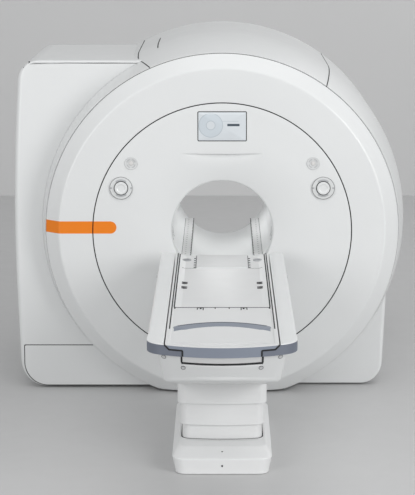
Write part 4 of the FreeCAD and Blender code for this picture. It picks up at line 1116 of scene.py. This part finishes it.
class SCANNER_OT_side_covers(bpy.types.Operator):
    """Side covers along the tabletop, which wrap round the foot above the grey band"""
    bl_idname = "scanner.side_covers"
    bl_label = "Side Covers"

    def execute(self, context):
        sizes, colours = context.scene.scanner_sizes, context.scene.scanner_colours
        edge = sizes.cover_edge / MM
        band_top, band_end = highest("foot_band", "z"), highest("foot_band", "y") - FRONT
        gap = TRAY_HALF + 6

        def side_path(inset):
            plan = foot_plan(TABLE_HALF - inset, TABLE_FOOT + inset, TABLE_HEAD)
            right = plan[len(plan) // 2:]
            cut = np.interp(gap, right[:len(right) // 2, 0], np.arange(len(right) // 2))
            first = int(cut)
            start = right[first] + (right[first + 1] - right[first]) * (cut - first)
            return resampled(np.concatenate([[start], right[first + 1:]]), 260)
        outer = side_path(0.0)
        behind = outer[:, 1] > band_end
        low = np.where(behind, BODY_TOP, band_top)
        soft = np.where(behind, edge, min(edge, RIM_HEIGHT - band_top - 0.2))
        rows = [flat_place(*outer.T, low)]
        narrow = side_path(edge)
        for turn in np.radians(np.linspace(0, 90, 6)):
            share = (soft * (1 - math.cos(turn)) / edge)[:, None]
            path = outer * (1 - share) + narrow * share
            rows.append(flat_place(*path.T, RIM_HEIGHT - soft * (1 - math.sin(turn))))
        last = rows[-1]
        for share in (0.5, 1.0):
            row = last.copy()
            moved = last[:, 0] * (1 - share) + (gap + 2.5) * share
            row[:, 0] = np.maximum(np.minimum(moved, last[:, 0]), gap)
            rows.append(row)
        for drop, inward in ((0.7, 0.7), (2.5, 0.0), (36.0, 0.0)):
            row = rows[-1].copy()
            row[:, 0] = gap + inward
            row[:, 2] = np.maximum(RIM_HEIGHT - drop, low)
            rows.append(row)
        rows.append(rows[0])
        grid = np.stack(rows)
        parts = [grid]
        for end in (grid[:, 0], grid[:, -1]):
            parts.append(np.stack([end, end.mean(0) + 0 * end]))
        for name, flip in (("left", mirrored), ("right", np.copy)):
            piece("side_cover_" + name, [flip(part) for part in parts], table_white(colours), "lift",
                  ["table_side_covers"] if name == "left" else [])
        self.guide_knobs()
        return {"FINISHED"}

    def guide_knobs(self):
        """Small round knobs on the covers' outer faces: a profile turned about an axis along X."""
        profile = rounded([(0, 0), (6, 0), (6, 4, 1), (9, 4, 1), (9, 10, 2.5), (0, 11.5)], step=20)
        turn = full_turn(32)
        radius, out = profile[:, :1], profile[:, 1:]
        grid = np.stack([TABLE_HALF - 0.5 + out + 0 * turn, FRONT - 600 + radius * np.sin(turn),
                         RIM_HEIGHT - 33 + radius * np.cos(turn)], -1)
        grey = finish("knob_grey", (0.58, 0.59, 0.60), 0.4, tone=0.03)
        piece("guide_knobs", both_sides([grid]), grey, "lift")


class SCANNER_OT_table_body(bpy.types.Operator):
    """Body under the table: leaning sides, sloping underside and soft lower edge"""
    bl_idname = "scanner.table_body"
    bl_label = "Table Body"

    def execute(self, context):
        sizes, colours = context.scene.scanner_sizes, context.scene.scanner_colours
        edge = sizes.body_edge / MM
        columns = 480
        foot_drop = 305.0
        nose_low = lowest("tabletop_end", "z") - 4

        def plan(drop):
            path = foot_plan(TABLE_HALF - BODY_SIDE_INSET - BODY_SIDE_LEAN * drop,
                             TABLE_FOOT + BODY_FOOT_INSET + BODY_FOOT_LEAN * drop, TABLE_HEAD - 15)
            head = path[-1] * (0, 1)
            return np.concatenate([[head], path, [head]])
        deep = 300.0
        tall = resampled(plan(0.0), columns)
        slope = (resampled(plan(deep), columns) - tall) / deep

        def at(height):
            return tall + slope * (BODY_TOP - height)[:, None]

        def floor_at(depth):
            """Underside: rises to the foot and to the head from its level middle."""
            low, foot = BODY_FLOOR, AXIS - foot_drop
            edge_depth = TABLE_FOOT + BODY_FOOT_INSET + BODY_FOOT_LEAN * (BODY_TOP - foot)
            return np.interp(depth, [edge_depth, -1400, -1230, -640, -520, TABLE_HEAD],
                             [foot, low + 30, low, low, low + 22, low + 0.62 * (foot - low)])
        bottom = np.full(columns, BODY_FLOOR + 100)
        for _ in range(12):
            bottom = floor_at(at(bottom)[:, 1])
        narrow = 8.0
        beside_sleeves = np.interp(at(bottom)[:, 1], [SLEEVE_FRONT - 220, SLEEVE_FRONT - 40,
                                                      SLEEVE_REAR + 40, SLEEVE_REAR + 200],
                                   [edge, narrow, narrow, edge])
        soft = np.minimum(beside_sleeves, 0.45 * (BODY_TOP - bottom))
        heights = [np.full(columns, height) for height in np.linspace(BODY_TOP, nose_low, 5)]
        heights += [nose_low + (bottom + soft - nose_low) * share for share in np.linspace(0, 1, 12)[1:]]
        rows = [(at(height), height) for height in heights]
        wall = rows[-1][0]
        inward = self.inward(wall)
        for turn in np.radians(np.linspace(0, 90, 7))[1:]:
            flat = wall + inward * (soft * (1 - math.cos(turn)))[:, None]
            height = floor_at(flat[:, 1]) + soft * (1 - math.sin(turn))
            rows.append((flat, np.minimum(height, rows[-1][1])))
        rim = rows[-1][0]
        hole_centre = np.array([0, (SLEEVE_FRONT + SLEEVE_REAR) / 2])
        angle = np.arctan2(rim[:, 0], rim[:, 1] - hole_centre[1])
        fit = 0.5
        hole = loop_at(sleeve_plan(SLEEVE_HALF + fit, SLEEVE_FRONT - fit, SLEEVE_REAR + fit),
                       hole_centre, angle)
        for share in np.linspace(0, 1, 9)[1:]:
            flat = rim * (1 - share) + hole * share
            rows.append((flat, floor_at(flat[:, 1])))
        grid = np.stack([flat_place(*flat.T, height) for flat, height in rows])
        foot_side = grid[:5, :, 1] < FRONT + TABLE_FOOT + 150
        for edge_x in (-NOSE_HALF, NOSE_HALF):
            near = np.argmin(np.abs(grid[4, :, 0] - edge_x) + 1e4 * ~foot_side[4])
            grid[:5, near, 0] = edge_x
        opening = foot_side & (np.abs(grid[:5, :, 0]) < NOSE_HALF - 0.01)
        grid[:4][opening[:4]] = np.nan
        piece("table_body_skin", [grid], table_white(colours), "lift",
              ["table_body_cover"], wall=COVER_WALL, inside=(0, -1000, 700))
        dress(["screw_caps"], finish("cap_white", (0.55, 0.555, 0.56), 0.45, grain=0.6, tone=0.03))
        self.cap_rings(colours)
        self.nose_joint(colours)
        return {"FINISHED"}

    def inward(self, path):
        """Sideways normals of the closed plan path, towards its inside."""
        tangent = unit(np.roll(path, -2, 0) - np.roll(path, 2, 0) + 1e-9)
        normal = np.stack([-tangent[:, 1], tangent[:, 0]], 1)
        middle = np.array([0, (TABLE_FOOT + TABLE_HEAD) / 2])
        if ((path - middle) * normal).sum() > 0:
            normal = -normal
        return normal

    def cap_rings(self, colours):
        """Thin dark joints round the screw caps at the table's foot."""
        radius = 10.2
        turn = full_turn(40)

        def place(a, b, h):
            return face_place(a, b, h - self.leaning_face(a, b))
        rings = []
        upper, lower = (277, 18), (185, 71)
        for x, drop in (upper, lower):
            path = np.stack([x + radius * np.sin(turn), BODY_TOP - drop + radius * np.cos(turn)], 1)
            rings.append(ribbon(path, 1.6, place, -3.0, 0.6))
        piece("cap_joints", both_sides(rings), gap_dark(colours), "lift")

    def nose_joint(self, colours):
        """Dark joint round the tabletop's nose, seen in the gap between it and the table's foot."""
        rim, flank = RIM_HEIGHT - 23, NOSE_HALF - 7
        side = [(TRAY_HALF + 2, RIM_HEIGHT - 3), (TRAY_HALF - 19, rim), (flank, rim, 4),
                (flank, BODY_TOP + 2), (NOSE_HALF - 2, BODY_TOP), (NOSE_HALF - 2, BODY_TOP - 41, 5)]
        path = rounded(side + [(-a, *rest) for a, *rest in reversed(side)], step=15)

        def place(a, b, h):
            depth = np.where(b < BODY_TOP, self.leaning_face(a, b), self.foot_face(a, TABLE_HALF, 0))
            return face_place(a, b, h - depth)
        grid = ribbon(resampled(path, 700), 8.0, place, -7.0, 1.0)
        piece("nose_joint", [grid], gap_dark(colours), "lift")

    def leaning_face(self, x, height):
        """Depth of the body's leaning foot at a distance x from the middle and a height."""
        top = self.foot_face(x, TABLE_HALF - BODY_SIDE_INSET, BODY_FOOT_INSET)
        return top + BODY_FOOT_LEAN * (BODY_TOP - height)

    def foot_face(self, x, half, inset):
        """Depth of the bowed foot at a distance x from the middle, for a plan of that half width."""
        path = foot_plan(half, TABLE_FOOT + inset, TABLE_HEAD)
        right = path[len(path) // 2:]
        keep = np.concatenate([[True], np.diff(right[:, 0]) > 1e-6])
        return np.interp(np.abs(x), right[keep, 0], right[keep, 1])


class SCANNER_OT_tabletop(bpy.types.Operator):
    """Table top: finishes, dark joints, clips, belt slots, head pad and inlay"""
    bl_idname = "scanner.tabletop"
    bl_label = "Table Top"

    def execute(self, context):
        sizes, colours = context.scene.scanner_sizes, context.scene.scanner_colours
        tray = finish("tray_white", colours.tray, 0.36, grain=1.0, relief=0.03, tone=0.015)
        dress(["tabletop_tray", "tabletop_end"], tray)
        dress(["tabletop_trim"], finish("trim_grey", colours.inlay, 0.42, grain=0.9, tone=0.03))
        dress(["foot_band"], band_grey(colours))
        dress(["coil_sockets"], finish("socket_grey", (0.38, 0.39, 0.40), 0.45, grain=0.6, tone=0.1))
        self.joints(sizes, colours)
        self.slots(colours)
        self.head(colours)
        self.inlay(colours)
        return {"FINISHED"}

    def bed(self, x):
        """Height of the tray's upper side at a distance x from the middle."""
        return np.interp(np.abs(x), [TRAY_HALF - 60, TRAY_HALF - 25, TRAY_HALF - 18, TRAY_HALF],
                         [BED_HEIGHT, RIM_HEIGHT - 5, RIM_HEIGHT, RIM_HEIGHT])

    def on_tray(self, a, b, h):
        """Point at a height h over the tray. The end section is level between its rims."""
        level = (b < TRAY_SPLIT) & (np.abs(a) < TRAY_HALF - 25)
        return flat_place(a, b, np.where(level, RIM_HEIGHT - 5, self.bed(a)) + h)

    def joints(self, sizes, colours):
        """Dark joints along the rim and across the tray."""
        width = sizes.line_width / MM
        runs = [(TRAY_HALF - 13, TABLE_HEAD - 2, -1934.0), (TRAY_HALF - 24, TABLE_HEAD - 2, TRAY_SPLIT)]
        strips = both_sides([ribbon(np.linspace((x, head), (x, foot), 40), width, self.on_tray, -1.0, 0.5)
                             for x, head, foot in runs])
        line, end = TRAY_SPLIT - 5.0, TRAY_HALF - 24
        strips.append(ribbon(np.linspace((-end, line), (end, line), 121), 9.0, self.on_tray, -1.0, 0.6))
        piece("tray_joints", strips, gap_dark(colours), "tabletop")

    def slots(self, colours):
        """Belt slots and the clips on the cross joint."""
        parts = []
        for depth in (-858.0, -971.0):
            for shift in (-15.0, 15.0):
                shape = box_outline(189, 221, depth + shift - 6, depth + shift + 6, 5)
                parts.append(slab(shape, -1.0, 2.4, 0.6, self.on_tray))
        arch = [(97, -62), (97, -12), (127, -12, 12), (127, -52)]
        for corners, wide in ((arch, 5.0), ([(110, -8), (110, -40)], 9.0), ([(36, -6), (36, -34)], 5.0),
                              ([(TRAY_HALF - 27, 0), (TRAY_HALF - 27, -30)], 8.0)):
            path = rounded([(x, TRAY_SPLIT + depth, *rest) for x, depth, *rest in corners], step=12)
            parts.append(ribbon(resampled(path, 40), wide, self.on_tray, -1.0, 1.0))
        piece("tray_slots", both_sides(parts), gap_dark(colours), "tabletop")

    def inlay(self, colours):
        """Bowed strip with round ends across the end section: depth bow (1 - (x / half)^2). A darker strip
        along its far edge is painted shadow.
        """
        half, wide, bow = 240.0, 84.0, 101.0
        x = np.linspace(-half + wide / 2, half - wide / 2, 61)
        path = np.stack([x, TABLE_FOOT + 366 + bow * (1 - (x / half) ** 2)], 1)
        across = unit(np.gradient(path, axis=0))[:, ::-1] * (-1, 1)
        parts = [ribbon(path, wide, self.on_tray, -1.0, 1.0)]
        for end in (path[0], path[-1]):
            parts.append(slab(circle(*end, wide / 2, 40), -1.0, 0.9, 0.3, self.on_tray))
        strip = finish("inlay_grey", colours.inlay, 0.42, grain=0.9, tone=0.03)
        piece("inlay_skin", parts, strip, "tabletop")
        # Painted shadow: a darker copy of the inlay colour, laid as a strip along the inlay's far edge.
        shade = finish("inlay_shade", np.array(colours.inlay) * 0.4, 0.6, grain=0.9, tone=0.03, shine=0.2)
        far = path + across * wide / 2
        piece("inlay_edge", [ribbon(far - across * 5, 10.0, self.on_tray, 0.5, 1.5)], shade, "tabletop")

    def head(self, colours):
        """Head plate with its centre pad and scale marks."""
        start = TABLE_HEAD - HEAD_PAD_LENGTH
        pad = box_outline(-HEAD_PAD_HALF, HEAD_PAD_HALF, start, TABLE_HEAD - 6, 8)
        piece("head_pad", [slab(pad, -1.0, 5.0, 3.0, self.on_tray)],
              finish("pad_white", np.array(colours.tray) * 0.96, 0.5, grain=2.5, relief=0.08, tone=0.02),
              "tabletop")
        line = np.linspace((HEAD_PAD_HALF + 3, start), (228, start), 20)
        lines = [ribbon(line, 3.4, self.on_tray, -0.6, 0.6)]
        for depth in np.linspace(TABLE_HEAD - 330, TABLE_HEAD - 90, 5):
            shape = box_outline(HEAD_PAD_HALF + 4, HEAD_PAD_HALF + 15, depth - 9, depth + 9, 2)
            lines.append(slab(shape, -0.6, 1.0, 0.5, self.on_tray))
        side = HEAD_PAD_HALF + 1.5
        edge = np.linspace((side, start + 2), (side, TABLE_HEAD - 8), 30)
        lines.append(ribbon(edge, 3.0, self.on_tray, -0.6, 0.8))
        piece("head_marks", both_sides(lines), gap_dark(colours), "tabletop")


class SCANNER_OT_table_base(bpy.types.Operator):
    """Moulded base, the finish of the three sleeves, two dark screws and the dark line round the lowest
    sleeve
    """
    bl_idname = "scanner.table_base"
    bl_label = "Table Base"

    def execute(self, context):
        colours = context.scene.scanner_colours
        sleeve = finish("sleeve_grey", colours.sleeves, 0.4, grain=1.0, tone=0.015)
        dress(["sleeve_lower", "sleeve_middle", "sleeve_outer"], sleeve)
        base = finish("base_grey", colours.base, 0.4, grain=1.4, relief=0.05, tone=0.015)
        centre = np.array([0, (BASE_FRONT + BASE_REAR) / 2])
        angles = full_turn(360)
        foot_inset, top_inset, foot_front_inset, top_front_inset = 18, 32, 10, 112

        def plan(share, corner):
            """share 0 is the foot, 1 the ridge and 2 the top edge."""
            low, high = max(0.0, 1 - share), max(0.0, share - 1)
            inset = foot_inset * low + top_inset * high
            out, far = BASE_HALF - inset, BASE_REAR - inset
            near = BASE_FRONT + foot_front_inset * low + top_front_inset * high
            shape = rounded([(-out, near, corner), (out, near, corner), (out, far, corner),
                             (-out, far, corner)], closed=True, step=3)
            return loop_at(shape, centre, angles)
        profile = np.array([(0.04, 3), (0, 6), (0.3, 30), (0.6, 55), (0.9, 80), (0.97, 84.5), (1.02, 88.5),
                            (1.1, 92), (1.5, 105.2), (1.9, BASE_TOP - 3.4), (1.96, BASE_TOP - 1.2),
                            (2.06, BASE_TOP)], float)
        rows = []
        for share, height in profile:
            flat = plan(share, 56 + 10 * min(share, 1) - 20 * max(0.0, share - 1))
            rows.append(flat_place(*flat.T, height))
        top = rows[-1][:, :2] - (0, FRONT)
        column = np.array([0, (SLEEVE_FRONT + SLEEVE_REAR) / 2])
        pocket = loop_at(self.sleeve_foot(0.0), column, np.arctan2(top[:, 0], top[:, 1] - column[1]))
        for share, drop in ((0.5, 0.0), (0.97, 0.0), (1.0, 2.0)):
            flat = top * (1 - share) + pocket * share
            rows.append(flat_place(*flat.T, BASE_TOP - drop))
        for height in (BASE_TOP - 20, 16.0):
            row = rows[-1].copy()
            row[:, 2] = height
            rows.append(row)
        for share in (0.5, 1.0):
            rows.append(rows[-1] * (1 - share) + rows[0] * share)
        piece("base_skin", [np.stack(rows)], base, "gantry", ["table_base_cover"])
        self.screws(colours)
        return {"FINISHED"}

    def sleeve_foot(self, grow):
        """Plan of the innermost sleeve, grown outwards."""
        inset = SLEEVE_STEP - grow
        return sleeve_plan(SLEEVE_HALF - inset, SLEEVE_FRONT + inset, SLEEVE_REAR - inset)

    def screws(self, colours):
        """Two dark screws on the base's middle line, and the dark line round the lowest sleeve."""
        face, slope_height = 1498.0, 107.0
        around = self.sleeve_foot(1.0)
        around = np.concatenate([around, around[:1]])
        dots = [slab(circle(0, 48, 5, 20), -2, 2.0, 0.8, lambda a, b, h: face_place(a, b, face + h)),
                slab(circle(0, -1440, 5, 20), slope_height - 2, slope_height + 1.2, 0.6, flat_place),
                ribbon(around, 7.0, flat_place, BASE_TOP - 3, BASE_TOP + 0.6)]
        piece("base_screws", dots, gap_dark(colours), "gantry")


# ---- inner pieces -------------------------------------------------------------------------

class SCANNER_OT_inner_parts(bpy.types.Operator):
    """Finishes of the magnet, coils, frames, lift column and drive"""
    bl_idname = "scanner.inner_parts"
    bl_label = "Inner Parts"

    def execute(self, context):
        colours = context.scene.scanner_colours
        brushed = dict(metallic=1.0, gloss=0.12, tone=0.06)
        round_brush, long_brush = (1.0, 14.0, 1.0), (1.0, 1.0, 12.0)
        looks = (
            (("magnet_vessel",), "vessel_steel", 0.34, dict(brushed, stretch=round_brush, grain=0.8)),
            (("thermal_shield", "helium_vessel"), "cold_aluminium", 0.3, dict(brushed, grain=0.6)),
            (("main_coils",), "coil_copper", 0.38, dict(brushed, stretch=round_brush, grain=1.0,
                                                        relief=0.2)),
            (("gradient_coil",), "gradient_resin", 0.45, dict(tone=0.12, grain=3.0, relief=0.2)),
            (("gradient_mounts", "suspension_rods", "body_coil"), "laminate", 0.5,
             dict(tone=0.08, stretch=(1.0, 6.0, 1.0), grain=1.2, relief=0.1)),
            (("magnet_feet", "cabinet_frame", "power_unit", "service_turret"), "painted_steel", 0.45,
             dict(tone=0.05, grain=1.0, relief=0.08)),
            (("lift_column_fixed", "lift_column_moving", "table_frame", "table_rails"),
             "frame_aluminium", 0.36, dict(brushed, stretch=long_brush, grain=0.5)),
            (("cold_head", "drive_pulley", "idler_pulley", "table_base_plate"), "machined_steel", 0.3,
             dict(brushed, grain=0.4)),
            (("drive_belt",), "belt_rubber", 0.75, dict(tone=0.2, grain=3.0, relief=0.4)),
            (("drive_motor",), "dark_plastic", 0.5, dict(tone=0.1, grain=0.8)),
        )
        for nodes, slot, roughness, extra in looks:
            dress(nodes, finish(slot + "_finish", record_colour(slot), roughness, **extra))
        dress(["cover_frames"], gap_dark(colours))
        return {"FINISHED"}


# ---- stage --------------------------------------------------------------------------------

class SCANNER_OT_stage(bpy.types.Operator):
    """Plain floor and wall, soft studio lights and the camera"""
    bl_idname = "scanner.stage"
    bl_label = "Studio"

    def execute(self, context):
        colours = context.scene.scanner_colours
        self.room(colours)
        self.lights(context.scene)
        self.camera(context.scene)
        context.scene.view_settings.view_transform = "Standard"
        context.scene.view_settings.look = "None"
        return {"FINISHED"}

    def room(self, colours):
        """Floor and wall: flat grids that meet behind the scanner."""
        wall = 6257.0
        wide = 30000.0
        high = 16000.0
        x, y = np.meshgrid(np.linspace(-wide, wide, 9), np.linspace(-wide, wall, 9))
        across, up = np.meshgrid(np.linspace(-wide, wide, 9), np.linspace(0, high, 5))
        sheets = (("studio_floor", np.stack([x, y, 0 * x], -1), colours.floor, 0.42, (0, 0, -1000)),
                  ("studio_wall", np.stack([across, wall + 0 * up, up], -1), colours.wall, 0.8,
                   (0, 60000, 0)))
        for name, grid, tint, roughness, inside in sheets:
            material = finish(name, tint, roughness, grain=4.0, relief=0.02, tone=0.01, patches=0.3)
            surface(name, [grid], material, inside)
        self.see_through_from_behind()

    def see_through_from_behind(self):
        """The wall shows only on the side that faces the scanner."""
        tree = bpy.data.materials["finish_studio_wall"].node_tree
        paint = next(node for node in tree.nodes if node.type == "BSDF_PRINCIPLED").outputs[0]
        clear = put(tree, "ShaderNodeBsdfTransparent").outputs[0]
        behind = put(tree, "ShaderNodeNewGeometry").outputs["Backfacing"]
        swap = put(tree, "ShaderNodeMixShader", {0: behind, 1: paint, 2: clear})
        sink = next(node for node in tree.nodes if node.type == "OUTPUT_MATERIAL")
        tree.links.new(swap.outputs[0], sink.inputs["Surface"])

    def lights(self, scene):
        world = bpy.data.worlds.new("studio_air")
        world.use_nodes = True
        air = world.node_tree.nodes["Background"].inputs
        air["Color"].default_value = (0.98, 0.99, 1.0, 1.0)
        air["Strength"].default_value = 0.56
        scene.world = world
        lamps = (("key", (8.5, -9.5, 4.6), (0.0, -0.6, 0.9), 7.0, 680.0),
                 ("top", (0.5, -3.0, 7.5), (0.0, -1.2, 0.0), 7.0, 110.0),
                 ("fill", (-7.5, -10.5, 4.2), (-0.4, -0.5, 0.9), 7.0, 400.0),
                 ("bore", (0.0, 0.1, 1.27), (0.0, 0.1, 0.9), 0.45, 2.2),
                 ("rear", (4.5, 5.0, 5.5), (0.0, 0.5, 0.8), 5.0, 60.0))
        for name, place, target, size, power in lamps:
            lamp = bpy.data.lights.new(name, "AREA")
            lamp.shape = "DISK"
            lamp.size = size
            lamp.energy = power
            made = linked(name, lamp)
            made.location = place
            aim = Vector(target) - Vector(place)
            made.rotation_euler = aim.to_track_quat("-Z", "Y").to_euler()

    def camera(self, scene):
        lens = bpy.data.cameras.new("camera")
        lens.lens = 128.8
        lens.sensor_width = 36
        lens.shift_x = -0.0296
        lens.clip_end = 200
        made = linked("camera", lens)
        made.location = (0.0, -11.10, 3.007)
        tilt_down = 11.51
        made.rotation_euler = (math.radians(90 - tilt_down), 0.0, 0.0)
        scene.camera = made


# ---- add-on -------------------------------------------------------------------------------

OPERATORS = (SCANNER_OT_front_disc, SCANNER_OT_ring_cover, SCANNER_OT_side_shells,
             SCANNER_OT_rear_cover, SCANNER_OT_cabinet, SCANNER_OT_skirt, SCANNER_OT_display,
             SCANNER_OT_controls, SCANNER_OT_bore, SCANNER_OT_side_covers, SCANNER_OT_table_body,
             SCANNER_OT_tabletop, SCANNER_OT_table_base, SCANNER_OT_inner_parts, SCANNER_OT_stage)


class SCANNER_PT_panel(bpy.types.Panel):
    """Sizes, colours and building steps of the scanner"""
    bl_idname = "SCANNER_PT_panel"
    bl_label = "Body Scanner"
    bl_space_type = "VIEW_3D"
    bl_region_type = "UI"
    bl_category = "Scanner"

    def draw(self, context):
        for settings in (context.scene.scanner_sizes, context.scene.scanner_colours):
            box = self.layout.box()
            for name in settings.__annotations__:
                box.prop(settings, name)
        for operator in OPERATORS:
            self.layout.operator(operator.bl_idname)


CLASSES = (ScannerSizes, ScannerColours) + OPERATORS + (SCANNER_PT_panel,)


def register():
    for entry in CLASSES:
        bpy.utils.register_class(entry)
    bpy.types.Scene.scanner_sizes = bpy.props.PointerProperty(type=ScannerSizes)
    bpy.types.Scene.scanner_colours = bpy.props.PointerProperty(type=ScannerColours)


def unregister():
    del bpy.types.Scene.scanner_colours
    del bpy.types.Scene.scanner_sizes
    for entry in reversed(CLASSES):
        bpy.utils.unregister_class(entry)


def main():
    register()
    for operator in OPERATORS:
        name = operator.bl_idname.split(".")[1]
        getattr(bpy.ops.scanner, name)()


if __name__ == "__main__":
    main()
